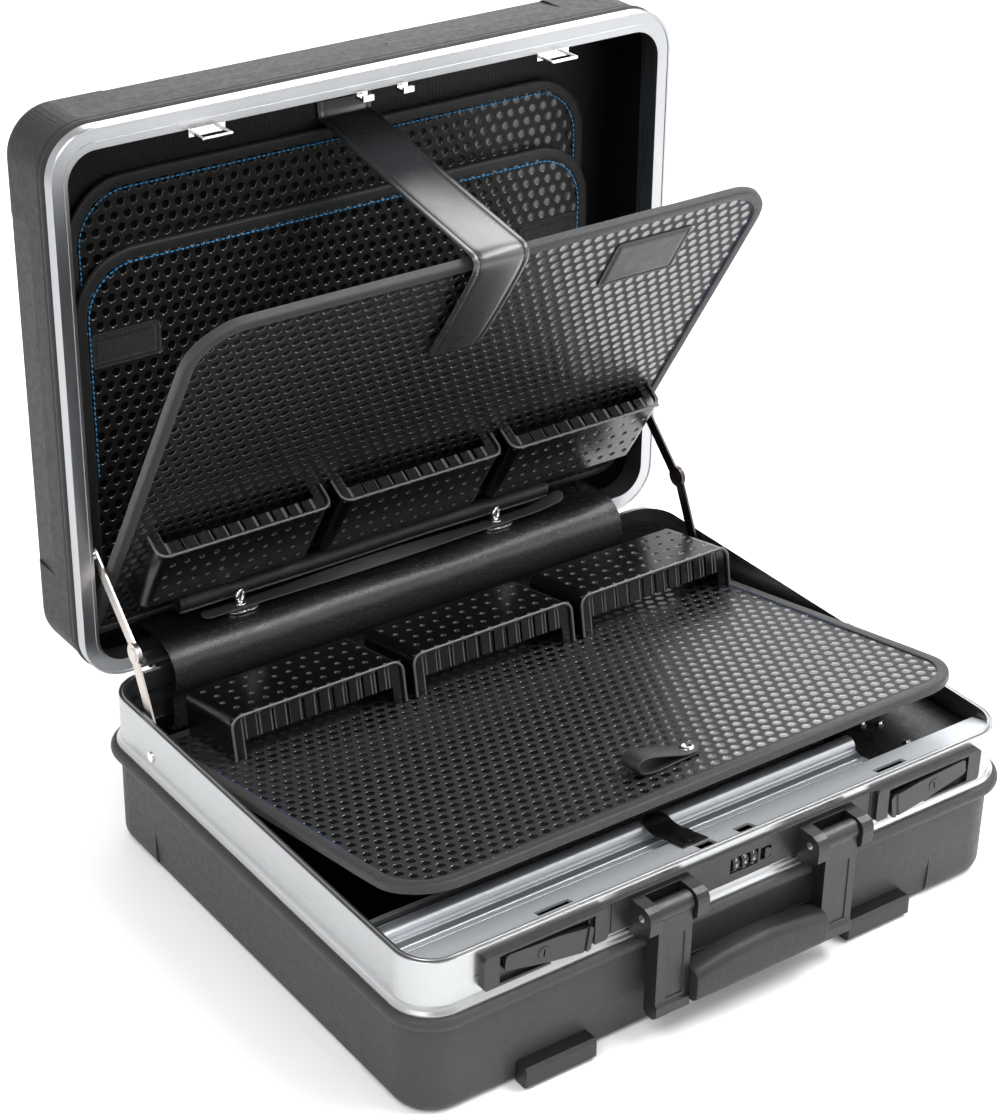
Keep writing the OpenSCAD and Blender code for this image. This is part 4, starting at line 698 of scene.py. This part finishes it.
# Leather sheet over the hinge
def hinge_cover():
    """One sheet from the base's wall round the hinge to the lid, as two skins joined at their edges."""
    t, half_wide = 0.0014, 0.188
    hinge_y, hinge_z = HINGE.y, HINGE.z
    rc = 0.0233
    a0 = math.radians(217)
    yl = hinge_y + (rc - 0.001) * math.cos(a0)
    prof = [(0.1805, hinge_z - 0.0418), (0.1775, hinge_z - 0.0418),
            (yl + 0.0008, hinge_z - 0.0412), (yl, hinge_z - 0.0400)]
    for i in range(1, 5):
        prof.append((yl - 0.0004 * math.sin(math.pi * i / 5),
                     hinge_z - 0.040 + (0.040 + rc * math.sin(a0) - 0.001) * i / 5))
    for i in range(25):
        a = math.radians(214 - 136 * i / 24)
        rr = rc - 0.001 * max(0.0, (a - 2.3) / 1.4)
        prof.append((hinge_y + rr * math.cos(a), hinge_z + rr * math.sin(a)))
    top = hinge_z + rc * math.sin(math.radians(78))
    for i in range(1, 6):
        prof.append((hinge_y + rc * math.cos(math.radians(78)) + 0.0262 * i / 5, top - 0.0001 * i))
    n = len(prof)
    nx = 64
    verts, faces = [], []
    dirs = []
    for i in range(n):
        a = prof[max(i - 1, 0)]
        b = prof[min(i + 1, n - 1)]
        d = Vector((b[0] - a[0], b[1] - a[1])).normalized()
        dirs.append((-d.y, d.x))
    for side in (0, 1):
        for i in range(n):
            for j in range(nx + 1):
                x = -half_wide + 2 * half_wide * j / nx
                edge = min(1.0, (half_wide - abs(x)) / 0.004)
                w = 0.0003 * math.sin(x * 33 + i * 0.35) * math.sin(x * 11 + 1.3)
                w *= math.sin(math.pi * i / (n - 1))
                off = w + (0 if side == 0 else -t)
                off += -(1 - edge) * 0.0003 if side == 0 else (1 - edge) * 0.0003
                verts.append(Vector((x, prof[i][0] + dirs[i][0] * off, prof[i][1] + dirs[i][1] * off)))

    def v(s, i, j):
        return s * n * (nx + 1) + i * (nx + 1) + j

    for s in (0, 1):
        for i in range(n - 1):
            for j in range(nx):
                faces.append((v(s, i, j), v(s, i, j + 1), v(s, i + 1, j + 1), v(s, i + 1, j)))
    for i in range(n - 1):
        for j in (0, nx):
            faces.append((v(0, i, j), v(0, i + 1, j), v(1, i + 1, j), v(1, i, j)))
    for j in range(nx):
        for i in (0, n - 1):
            faces.append((v(0, i, j), v(0, i, j + 1), v(1, i, j + 1), v(1, i, j)))
    ob = piece("hinge_cover_leather", verts, faces, "cover leather", None)
    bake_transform(ob)
    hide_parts("hinge_cover_lid", "hinge_cover_base")
    length = sum(math.dist(a, b) for a, b in zip(prof, prof[1:]))


hinge_cover()


# Holding strap with its sewn edges
def strap_section(w, t, puff):
    """Closed section of a lined strap: sewn flat edges and a slightly padded middle."""
    half = w / 2
    prof = [(-half, 0.0), (-half + 0.0006, t * 0.42), (-half + 0.0016, t * 0.5), (-half + 0.0036, t * 0.5),
            (-half + 0.0042, t * 0.34), (-half + 0.0048, t * 0.5)]
    for i in range(1, 10):
        f = i / 10
        prof.append((-half + 0.0048 + (w - 0.0096) * f, t * 0.5 + puff * math.sin(math.pi * f)))
    prof += [(-p[0], p[1]) for p in reversed(prof[:6])]
    return prof + [(p[0], -t * 0.5) for p in reversed(prof[1:-1])]


def along(points):
    """Stations along a path, as level across as they can be, with across and out directions."""
    st = []
    level = Vector((1, 0, 0))
    for i, p in enumerate(points):
        t = heading(points, i)
        across = (level - t * level.dot(t)).normalized()
        st.append((p, across, t.cross(across).normalized()))
    return st


def bezier(p0, p1, p2, p3, n):
    return [p0 * (1 - t) ** 3 + p1 * 3 * t * (1 - t) ** 2 + p2 * 3 * t * t * (1 - t) + p3 * t ** 3
            for t in (i / n for i in range(n + 1))]


def strap():
    """Anchor on the lid's floor, a straight run, a soft turn over the board's edge and down its face."""
    wide = 0.042

    def down(s, h):
        return LID_BOARD @ Vector((-0.009, -s, -0.002 - h))

    anchor = OPEN @ Vector((0.008, -0.1535, 0.1722))
    turn = OPEN @ Vector((0.008, -0.1405, 0.1690))
    pts = [anchor, OPEN @ Vector((0.008, -0.147, 0.1722)), OPEN @ Vector((0.008, -0.1425, 0.1712)), turn]
    start = OPEN @ Vector((0.008, -0.1403, 0.1630))
    end = LID_BOARD @ Vector((-0.0085, -LID_L - 0.0042, 0.0040))
    for i in range(15):
        f = i / 14
        p = start.lerp(end, f)
        p.z -= 0.0006 * math.sin(math.pi * f)
        pts.append(p)
    pts += bezier(end, end + (end - start).normalized() * 0.010, down(LID_L + 0.0075, 0.0068),
                  down(LID_L - 0.004, 0.0074), 9)[1:]
    for i in range(1, 12):
        f = i / 11
        s = LID_L - 0.004 - 0.088 * f
        pts.append(down(s, 0.0074 - 0.0056 * f ** 1.6))
    st = along(pts)
    sec = strap_section(wide, 0.0022, 0.0007)
    stations = []
    n = len(st)
    for i, (p, a, b) in enumerate(st):
        k = 1.0
        if i >= n - 2:
            k = 0.94 if i == n - 1 else 0.99
        stations.append((p, a, b, [(q[0] * k, q[1]) for q in sec]))
    v, f = sweep(stations, sec)
    ob = piece("holding_strap_leather", v, f, "strap", None, angle=50)
    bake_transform(ob)
    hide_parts("holding_strap", "strap_clip", "strap_anchor")
    path_length(pts)
    for side, s in (("left", -1), ("right", 1)):
        line, nrm = [], []
        for p, a, b in st[2:]:
            line.append(p + a * (s * 0.0168) + b * 0.0009)
            nrm.append((p, b))

        def normal(o, nrm=nrm):
            return min(nrm, key=lambda q: (q[0] - o).length)[1]

        ob2 = stitches(f"holding_strap_thread_{side}", line, normal, "dark thread", None,
                       pitch=0.0034, length=0.0026, width=0.0006, high=0.0004)
        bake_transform(ob2)


strap()


# Leather grip and strip on the hinge cover
FLAP_Y = HINGE.y - 0.02405
BUTTONS = (-0.121, 0.093)


def flap(x, rise, depth):
    """A point over the hinge cover: height above the cover and distance back from the hinge axis."""
    return OPEN @ Vector((x, FLAP_Y - rise, HINGE.z + depth))


def band(outer_r, turns, thick, n):
    """Closed section of a sheet rolled up on itself, as (across, out)."""
    line = []
    for i in range(n + 1):
        a = 2 * math.pi * turns * i / n
        line.append((a - 2.2, outer_r - (thick * 1.06) * a / (2 * math.pi)))
    out_side = [(r * math.cos(a), r * math.sin(a)) for a, r in line]
    in_side = [((r - thick) * math.cos(a), (r - thick) * math.sin(a)) for a, r in reversed(line)]
    return out_side + in_side


def rolled_grip():
    """Roll of leather behind the strip, pinched near the turn buttons, with a ring of thread at each end."""
    r, rest, back0 = 0.0068, 0.0022, 0.0178
    left, right = -0.163, 0.145
    sec = band(r, 2.4, 0.0013, 72)
    st = []
    n = 110
    for i in range(n + 1):
        x = left + 0.308 * i / n
        pinch = sum(math.exp(-((x - b - 0.006) / 0.007) ** 2) for b in BUTTONS)
        end = min(1.0, (x - left) / 0.003, (right - x) / 0.003)
        k = (1 - 0.10 * pinch) * (0.95 + 0.05 * end)
        rise = rest + r - 0.0006 * pinch + 0.0002 * math.sin(x * 41) + 0.0002
        o = flap(x, rise, back0 + 0.0005 * math.sin(x * 23 + 0.7))
        a = (flap(x, rise, 0.021) - flap(x, rise, 0.020)).normalized()
        b = (flap(x, 0.001, 0.02) - flap(x, 0.0, 0.02)).normalized()
        st.append((o, a, b, [(p[0] * k, p[1] * k) for p in sec]))
    v, f = sweep(st, sec)
    ob = piece("rolled_leather_grip", v, f, "handle leather", "lid", angle=50)
    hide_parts("flap_handle")
    for side, x in (("left", left + 0.0042), ("right", right - 0.0042)):
        out = (flap(x, 0.001, 0.02) - flap(x, 0, 0.02)).normalized()
        behind = (flap(x, 0, 0.021) - flap(x, 0, 0.02)).normalized()
        centre = flap(x, rest + r + 0.0002, back0)
        pts = []
        for j in range(61):
            a = 2 * math.pi * j / 60
            pts.append(centre + out * (r * math.sin(a)) + behind * (r * math.cos(a)))
        stitches(f"grip_thread_{side}", pts, lambda o, c=centre: o - c, "dark thread", "lid",
                 pitch=0.0028, length=0.0021, width=0.0006, high=0.0003)


def button_strip():
    """Strip with rounded ends under both turn buttons, bowed up and tipped between them."""
    st = []
    n = 120
    w, t = 0.0102, 0.0014
    x0, x1 = -0.152, 0.152
    for i in range(n + 1):
        x = x0 + (x1 - x0) * (0.5 - 0.5 * math.cos(math.pi * i / n))
        f = (x - BUTTONS[0]) / (BUTTONS[1] - BUTTONS[0])
        bow = math.sin(math.pi * f) if 0 < f < 1 else 0.0
        bow = bow * bow
        tip = max(0.0, (x - 0.115) / 0.037) ** 2 * 0.006 + max(0.0, (-0.135 - x) / 0.017) ** 2 * 0.0006
        rise = 0.0019 + 0.0020 * bow + tip
        lean = math.radians(30 * bow + 26 * (tip / 0.006))
        depth = 0.0046 - 0.0022 * bow
        e = min(x - x0, x1 - x)
        half = w / 2
        k = math.sqrt(max(0.0, 1 - (1 - min(1.0, e / half)) ** 2)) if e < half else 1.0
        k = max(k, 0.08)
        o = flap(x, rise, depth)
        a0 = (flap(x, rise, depth + 0.001) - o).normalized()
        b0 = (flap(x, rise + 0.001, depth) - o).normalized()
        a = (a0 * math.cos(lean) + b0 * math.sin(lean)).normalized()
        b = (b0 * math.cos(lean) - a0 * math.sin(lean)).normalized()
        hw = half * k
        rr = t / 2
        sec = strip_section(hw, t, 6)
        if hw < rr * 1.2:
            sec = [(p[0] * 0.3, p[1]) for p in strip_section(rr, t, 6)]
        st.append((o, a, b, sec))
    v, f = sweep(st, st[0][3])
    ob = piece("button_strip_leather", v, f, "strip leather", "lid", angle=55)
    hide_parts("flap_handle")


def ring_buttons():
    """Twist fasteners: a collar on the strip and an oval ring standing on it."""
    collar = [(0.0, 0.0012), (0.0020, 0.0012), (0.0040, 0.0024), (0.0043, 0.0028), (0.0041, 0.0033),
              (0.0030, 0.0036), (0.0022, 0.0039), (0.0018, 0.0046), (0.0, 0.0046)]
    half_wide, half_high, n, m, w = 0.0035, 0.0041, 28, 36, 12
    turn = math.radians(24)
    for nm, x in zip(("left", "right"), BUTTONS):
        o = flap(x, 0.0, 0.006)
        ex = (flap(x + 0.001, 0, 0.006) - flap(x, 0, 0.006)) * 1000
        ey = (flap(x, 0, 0.007) - flap(x, 0, 0.006)) * 1000
        ez = (flap(x, 0.001, 0.006) - flap(x, 0, 0.006)) * 1000
        verts = turned(collar, n, lambda a, b, h: o + ex * a + ey * b + ez * h)
        faces = []
        skin(faces, len(collar), n)
        start = len(verts)
        wide_way = ex * math.cos(turn) + ey * math.sin(turn)
        deep_way = ey * math.cos(turn) - ex * math.sin(turn)
        for i in range(m):
            t = 2 * math.pi * i / m
            c = wide_way * (half_wide * math.cos(t)) + ez * (0.0086 + half_high * math.sin(t))
            nrm = (wide_way * (math.cos(t) / half_wide) + ez * (math.sin(t) / half_high)).normalized()
            for k in range(w):
                q = 2 * math.pi * k / w
                verts.append(o + c + nrm * (0.0013 * math.cos(q)) + deep_way * (0.0016 * math.sin(q)))
        skin(faces, m, w, start, closed=True)
        ob = piece(f"ring_button_{nm}", verts, faces, "steel", f"turn_{nm}", angle=40)
        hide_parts(f"turn_button_{nm}")


rolled_grip()
button_strip()
ring_buttons()


# Pull loop on the base board
def pull_loop():
    """Leather loop folded on itself under a ring snap."""
    def at(x, h, s):
        return BASE_BOARD @ Vector((x, -s, h))

    z0, t, half, s0 = 0.00215, 0.0013, 0.0092, 0.275
    path = [(0.0238, z0 + 0.0026), (0.0150, z0 + 0.0026), (0.0080, z0 + 0.0028)]
    for corners, n in ((((0.0080, 0.0028), (-0.006, 0.0056), (-0.0330, 0.0190), (-0.0330, 0.0080)), 18),
                       (((-0.0330, 0.0080), (-0.0330, 0.0014), (-0.020, 0.0006), (-0.003, 0.0009)), 14)):
        curve = bezier(*[Vector((x, z0 + h, 0)) for x, h in corners], n)
        path += [(p.x, p.y) for p in curve[1:]]
    path += [(0.0080, z0 + 0.0010), (0.0160, z0 + 0.0010), (0.0238, z0 + 0.0010)]
    pts = [at(x, h, s0 + 0.10 * max(0.0, 0.004 - x)) for x, h in path]
    along_s = (at(0, 0, 0.276) - at(0, 0, s0)).normalized()
    st = []
    for i, p in enumerate(pts):
        x = path[i][0]
        hw = half
        if x > 0.0156:
            q = min(1.0, (x - 0.0156) / 0.0082)
            hw = max(0.0008, half * math.sqrt(max(0.0, 1 - q * q)))
        st.append((p, along_s, heading(pts, i).cross(along_s).normalized(), strip_section(hw, t)))
    v, f = sweep(st, st[0][3])
    ob = piece("pull_loop_leather", v, f, "loop leather", "base_board", angle=55)
    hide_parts("pull_loop")
    path_length(pts)
    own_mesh(ob)
    low = z0 + 0.0026 + t / 2 - 0.0001
    snap = [(0.0, 0.0001), (0.0011, 0.0002), (0.0016, 0.0007), (0.0020, 0.0002), (0.0025, 0.0003),
            (0.0030, 0.0011), (0.0036, 0.0012), (0.0042, 0.0007), (0.0047, 0.0005), (0.0050, 0.0002),
            (0.0050, -0.0002)]
    n = 40
    verts = turned(snap, n, lambda a, b, h: at(0.014 + a, low + h, s0 + b))
    faces = []
    skin(faces, len(snap), n)
    piece("ring_snap", verts, faces, "steel", "base_board", angle=50)


pull_loop()


def holder_beads():
    """Rounded edge along the mouth of each tool holder, in a lighter nylon as a painted highlight."""
    for row, place, x0, s, h, side in (("base", BASE_BOARD, BASE_HOLDER_X, 0.076, 0.031, 1),
                                       ("lid", LID_BOARD, LID_HOLDER_X, 0.118, 0.019, -1)):
        for k, where in ((-1, "left"), (0, "middle"), (1, "right")):
            xc, w, r = x0 + k * HOLDER_PITCH, 0.066 - 0.0004, 0.0076
            top = h - 0.0004
            line = [(xc - w, 0.0006), (xc - w, (top - r) / 2)]
            line += arc_points(xc - w + r, top - r, r, 180, 90, 8)
            line += arc_points(xc + w - r, top - r, r, 90, 0, 8)
            line += [(xc + w, (top - r) / 2), (xc + w, 0.0006)]
            pts = [place @ Vector((x, -(s - 0.0003), side * (0.002 + z))) for x, z in line]
            out = (place @ Vector((0, -1, 0)) - place @ Vector((0, 0, 0))).normalized()
            sec = arc_points(0, 0, 0.0009, 0, 315, 7)
            st = [(o, out, heading(pts, i).cross(out).normalized()) for i, o in enumerate(pts)]
            v, f = sweep(st, sec)
            piece(f"holder_bead_{row}_{where}", v, f, "holder edge highlight", row + "_board", angle=60)


def rail_ribs():
    """Drawn ribs along the hollow band of the front rail."""
    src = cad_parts["front_rail"]
    tree = BVHTree.FromObject(src, bpy.context.evaluated_depsgraph_get())
    inv = src.matrix_world.inverted()
    corners = [src.matrix_world @ Vector(c) for c in src.bound_box]
    x0, x1 = min(c.x for c in corners) + 0.003, min(0.140, max(c.x for c in corners) - 0.003)
    y0, y1 = -0.1545, max(c.y for c in corners) - 0.0132
    for i, part in enumerate((0.08, 0.36, 0.62, 0.90)):
        y = y0 + (y1 - y0) * part
        hit, normal, _, _ = tree.ray_cast(inv @ Vector((-0.1, y, 0.3)), Vector((0, 0, -1)))
        hit = src.matrix_world @ hit
        normal = Vector((0, normal.y, normal.z)).normalized()
        across = Vector((0, -normal.z, normal.y))
        sec = arc_points(0, -0.0002, 0.0009, -10, 190, 8)
        st = [(Vector((x0 + (x1 - x0) * j / 6, hit.y, hit.z)), across, normal, sec) for j in range(7)]
        v, f = sweep(st, sec)
        piece(f"rail_rib_{i + 1}", v, f, "rail", "base", angle=60)


holder_beads()
rail_ribs()


# Tab over the front rail
def divider_tab():
    """Leather tongue from the slanted strip of the front rail over its ridge, with a round end."""
    hy, t, g, half = 0.186, 0.0014, 0.0008, 0.0098

    def top(d):
        return 0.113 - 0.0016 - (d - 0.004) * 0.27

    pts = [Vector((TAB_X, -hy + d, top(d) + g)) for d in (0.0150, 0.0165, 0.0185, 0.0210, 0.0240, 0.0265)]
    a = Vector((TAB_X, -hy + 0.028, top(0.028) + g))
    yr, zr = -hy + 0.058 - 0.003, 0.103 + g
    b = Vector((TAB_X, yr - 0.004, zr - 0.0016))
    pts += bezier(a, a + Vector((0, 0.008, -0.0004)), b - Vector((0, 0.009, 0.0022)), b, 9)
    for y, z in ((yr - 0.001, zr - 0.0004), (yr + 0.002, zr + 0.0001),
                 (yr + 0.005, zr - 0.0001), (yr + 0.0062, zr - 0.0004)):
        pts.append(Vector((TAB_X, y, z)))
    pts = [p for p, d in resample(pts, 0.0012)] + [pts[-1]]
    end = pts[-1].y
    st = []
    across = Vector((1, 0, 0))
    for i, p in enumerate(pts):
        e = end - p.y
        hw = half
        if e < hw:
            hw = max(0.0009, hw * math.sqrt(max(0.0, 1 - (1 - e / hw) ** 2)))
        st.append((p, across, across.cross(heading(pts, i)).normalized(), strip_section(hw, t)))
    v, f = sweep(st, st[0][3])
    ob = piece("divider_tab_leather", v, f, "leather", "base", angle=55)
    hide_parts("divider_tab")
    length = path_length(pts)
    for side, s in (("left", -1), ("right", 1)):
        line = [p + Vector((s * 0.0082, 0, 0.0008)) for p in pts if end - p.y > 0.007]
        stitches(f"tab_thread_{side}", line, Vector((0, -0.2, 1)), "dark thread", "base",
                 pitch=0.0030, length=0.0022, width=0.0005, high=0.0003)


divider_tab()


# Sewn patches
def patch(name, node, place, x0, x1, y0, y1, z, face, look, body, corner=0.003):
    """Sewn patch with a pressed edge and a slightly raised field."""
    thick = 0.0012
    cx, cy = (x0 + x1) / 2, (y0 + y1) / 2
    ax, ay = (x1 - x0) / 2, (y1 - y0) / 2
    rings = [(0.0, 0.0), (0.0, 0.55), (0.0004, 0.8), (0.0020, 0.85), (0.0028, 0.62), (0.0034, 0.62),
             (0.0044, 1.0)]
    for i in range(1, 8):
        rings.append((0.0044 + (min(ax, ay) - 0.0050) * i / 8, 1.0 + 0.04 * math.sin(i * 1.3)))
    verts, faces, n = [], [], None
    for d, h in rings:
        r = max(corner - d, 0.0004)
        pts = outline(ax - d, ay - d, r, r, step=6)
        n = n or len(pts)
        if len(pts) != n:
            pts = [pts[int(k * len(pts) / n)] for k in range(n)]
        for q in pts:
            verts.append(place @ Vector((cx + q[0], cy + q[1], z + face * thick * h)))
    skin(faces, len(rings), n, capped=True)
    ob = piece(name, verts, faces, look, body, angle=50)
    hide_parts(node)
    inset = 0.0024
    r = max(corner - inset, 0.0006)
    edge = outline(ax - inset, ay - inset, r, r, step=6)
    line = [place @ Vector((cx + q[0], cy + q[1], z + face * thick * 0.72)) for q in edge + edge[:1]]
    nrm = (place.to_3x3() @ Vector((0, 0, face))).normalized()
    stitches(name + "_thread", line, nrm, "dark thread", body,
             pitch=0.0032, length=0.0024, width=0.0005, high=0.0003)


patch("board_patch_fabric", "lid_board_patch", LID_BOARD, 0.097, 0.160, -LID_L + 0.024,
      -LID_L + 0.068, -0.00205, -1, "loop leather", "lid_board", 0.004)
pocket_top = POCKET_FOOT - FRONT_POCKET
for side, x in (("left", -0.171), ("right", 0.171)):
    patch("pocket_patch_" + side, "pocket_tabs", OPEN, x - 0.026, x + 0.026,
          pocket_top + 0.054, pocket_top + 0.078, 0.16075, -1, "fabric", "lid")


# Handle sleeve
def grip_sleeve():
    """Rubber sleeve of the handle, crowned towards its middle."""
    yb, depth, z0, high, crown, hw, fx = -0.1964, 0.0168, 0.0241, 0.0298, 0.0060, 0.0528, 0.006
    st = []
    n = 60
    for i in range(n + 1):
        u = -1 + 2 * i / n
        x = fx + u * hw
        e = min(1.0, (1 - abs(u)) * hw / 0.0022)
        k = 1 - 0.03 * (1 - e) ** 2
        h = (high - crown * u * u) * k
        d = depth * k
        r_out, r_in = 0.0064, 0.0025
        cz = z0 + (high - crown * u * u) / 2
        sec = []
        for side_x, side_z, r, a in ((0.5, 0.5, r_in, 0), (-0.5, 0.5, r_out, 90),
                                     (-0.5, -0.5, r_out, 180), (0.5, -0.5, r_in, 270)):
            sx = side_x * d - math.copysign(r, side_x)
            sz = side_z * h - math.copysign(r, side_z)
            sec += arc_points(sx, sz, r, a, a + 90, 7)
        st.append((Vector((x, yb - depth / 2, cz)), Vector((0, 1, 0)), Vector((0, 0, 1)), sec))
    v, f = sweep(st, st[0][3])
    ob = piece("handle_sleeve", v, f, "grip", "handle", angle=45)
    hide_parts("handle_grip")


grip_sleeve()


# Digits on the number wheels, as lines in a box 1 wide and 1.6 high
STROKES = {
    0: [[(0.5, 0), (0.12, 0.15), (0, 0.5), (0, 1.1), (0.12, 1.45), (0.5, 1.6), (0.88, 1.45), (1, 1.1),
         (1, 0.5), (0.88, 0.15), (0.5, 0)]],
    1: [[(0.2, 1.25), (0.55, 1.6), (0.55, 0)]],
    2: [[(0, 1.25), (0.2, 1.55), (0.6, 1.6), (0.95, 1.35), (0.9, 1.0), (0, 0), (1, 0)]],
    3: [[(0, 1.6), (0.95, 1.6), (0.45, 0.98), (0.85, 0.85), (1, 0.5), (0.8, 0.1), (0.4, 0), (0, 0.2)]],
    4: [[(0.75, 0), (0.75, 1.6), (0, 0.5), (1, 0.5)]],
    5: [[(0.95, 1.6), (0.1, 1.6), (0.05, 0.9), (0.6, 0.98), (1, 0.6), (0.8, 0.1), (0.4, 0), (0, 0.15)]],
    6: [[(0.8, 1.6), (0.25, 1.05), (0, 0.5), (0.2, 0.08), (0.6, 0), (1, 0.35), (0.85, 0.8), (0.4, 0.92),
         (0.05, 0.65)]],
    7: [[(0, 1.6), (1, 1.6), (0.35, 0)]],
    8: [[(0.5, 0.88), (0.1, 1.1), (0.12, 1.45), (0.5, 1.6), (0.88, 1.45), (0.9, 1.1), (0.5, 0.88),
         (0.05, 0.6), (0.05, 0.2), (0.5, 0), (0.95, 0.2), (0.95, 0.6), (0.5, 0.88)]],
    9: [[(0.2, 0), (0.75, 0.55), (1, 1.1), (0.8, 1.52), (0.4, 1.6), (0, 1.25), (0.15, 0.8), (0.6, 0.68),
         (0.95, 0.95)]],
}


def wheel_digits():
    wheel_r, wy, wz = 0.0074, -0.186 - 0.0024 - 0.0012 + 0.0074, 0.113 - 0.0175
    for i in (1, 2, 3):
        cx = 0.006 + (i - 2) * 0.007
        verts, faces = [], []
        for k in range(10):
            mid = math.radians(36 * k)
            for line in STROKES[(k + 2 * i) % 10]:
                dense = []
                for a, b in zip(line, line[1:]):
                    m = max(1, int(math.hypot(b[0] - a[0], b[1] - a[1]) / 0.25))
                    dense += [(a[0] + (b[0] - a[0]) * j / m, a[1] + (b[1] - a[1]) * j / m) for j in range(m)]
                dense.append(line[-1])
                base = len(verts)
                for j, p in enumerate(dense):
                    a = dense[max(j - 1, 0)]
                    b = dense[min(j + 1, len(dense) - 1)]
                    span = math.hypot(b[0] - a[0], b[1] - a[1]) or 1
                    nx, ny = -(b[1] - a[1]) / span, (b[0] - a[0]) / span
                    for sgn, lift in ((-1, -0.0003), (-1, 0.00004), (1, 0.00004), (1, -0.0003)):
                        u = (p[0] - 0.5) * 0.0015 + sgn * nx * 0.00015
                        w = (p[1] - 0.8) * 0.0014 + sgn * ny * 0.00015
                        ang = mid + w / wheel_r
                        r = wheel_r + lift
                        verts.append(Vector((cx + u, wy - r * math.cos(ang), wz + r * math.sin(ang))))
                skin(faces, len(dense), 4, base, capped=True)
        piece(f"wheel_digits_{i}", verts, faces, "digit", f"wheel_{i}", smooth=False)


wheel_digits()


# Light and floor
def area(name, loc, target, size, power, size_y=None):
    d = bpy.data.lights.new(name, "AREA")
    d.energy = power
    d.shape = "RECTANGLE"
    d.size = size
    d.size_y = size_y or size
    o = bpy.data.objects.new(name, d)
    o.location = loc
    o.rotation_euler = (Vector(loc) - Vector(target)).to_track_quat("Z", "Y").to_euler()
    scene.collection.objects.link(o)


area("key", (-1.5, -0.8, 2.2), (0, 0, 0.15), 1.6, 36)
area("top", (0.95, -0.40, 1.75), (0, 0.05, 0.15), 2.0, 46, 0.7)
area("fill", (1.9, -1.6, 1.0), (0, 0, 0.15), 1.2, 12)
area("rim", (1.2, 1.9, 1.7), (0, 0.1, 0.2), 1.6, 30)

world = bpy.data.worlds.new("studio")
scene.world = world
world.use_nodes = True
wt = world.node_tree
wt.nodes.clear()
out = wt.nodes.new("ShaderNodeOutputWorld")
path = wt.nodes.new("ShaderNodeLightPath")
# Mirror-like surfaces see a bright horizon and a darker room above it
wt_co = wt.nodes.new("ShaderNodeTexCoord")
wt_sep = wt.nodes.new("ShaderNodeSeparateXYZ")
wt_map = wt.nodes.new("ShaderNodeMapRange")
wt_map.interpolation_type = "SMOOTHSTEP"
wt.links.new(wt_co.outputs["Generated"], wt_sep.inputs[0])
wt.links.new(wt_sep.outputs[2], wt_map.inputs[0])
for i, v in enumerate((0.40, 0.85, 1.0, 0.2)):
    wt_map.inputs[i + 1].default_value = v
last = None
for tint, power, seen in (((0.96, 0.98, 1.0), 0.85, None),
                          ((0.98, 0.99, 1.0), wt_map.outputs[0], "Is Glossy Ray"),
                          ((1, 1, 1), 1.0, "Is Camera Ray")):
    bg = wt.nodes.new("ShaderNodeBackground")
    bg.inputs["Color"].default_value = (*tint, 1)
    if isinstance(power, float):
        bg.inputs["Strength"].default_value = power
    else:
        wt.links.new(power, bg.inputs["Strength"])
    if last is None:
        last = bg.outputs[0]
        continue
    mixs = wt.nodes.new("ShaderNodeMixShader")
    wt.links.new(path.outputs[seen], mixs.inputs[0])
    wt.links.new(last, mixs.inputs[1])
    wt.links.new(bg.outputs[0], mixs.inputs[2])
    last = mixs.outputs[0]
wt.links.new(last, out.inputs[0])

fm = Mat("floor_paper", (0.93, 0.93, 0.93), 0.9, spec=0.1)
fm.color(fm.mix(fm.noise(3, 2), (0.92, 0.92, 0.92), (0.95, 0.95, 0.95)))
M["floor"] = fm.mat
floor_points = []
FLOOR_R, FLOOR_N = 6.0, 48
for i in range(FLOOR_N):
    t = 2 * math.pi * i / FLOOR_N
    floor_points.append(Vector((FLOOR_R * math.cos(t), FLOOR_R * math.sin(t), -0.0002)))
floor = piece("floor", floor_points, [tuple(range(FLOOR_N))], "floor", None)
scene.view_settings.view_transform = "Standard"
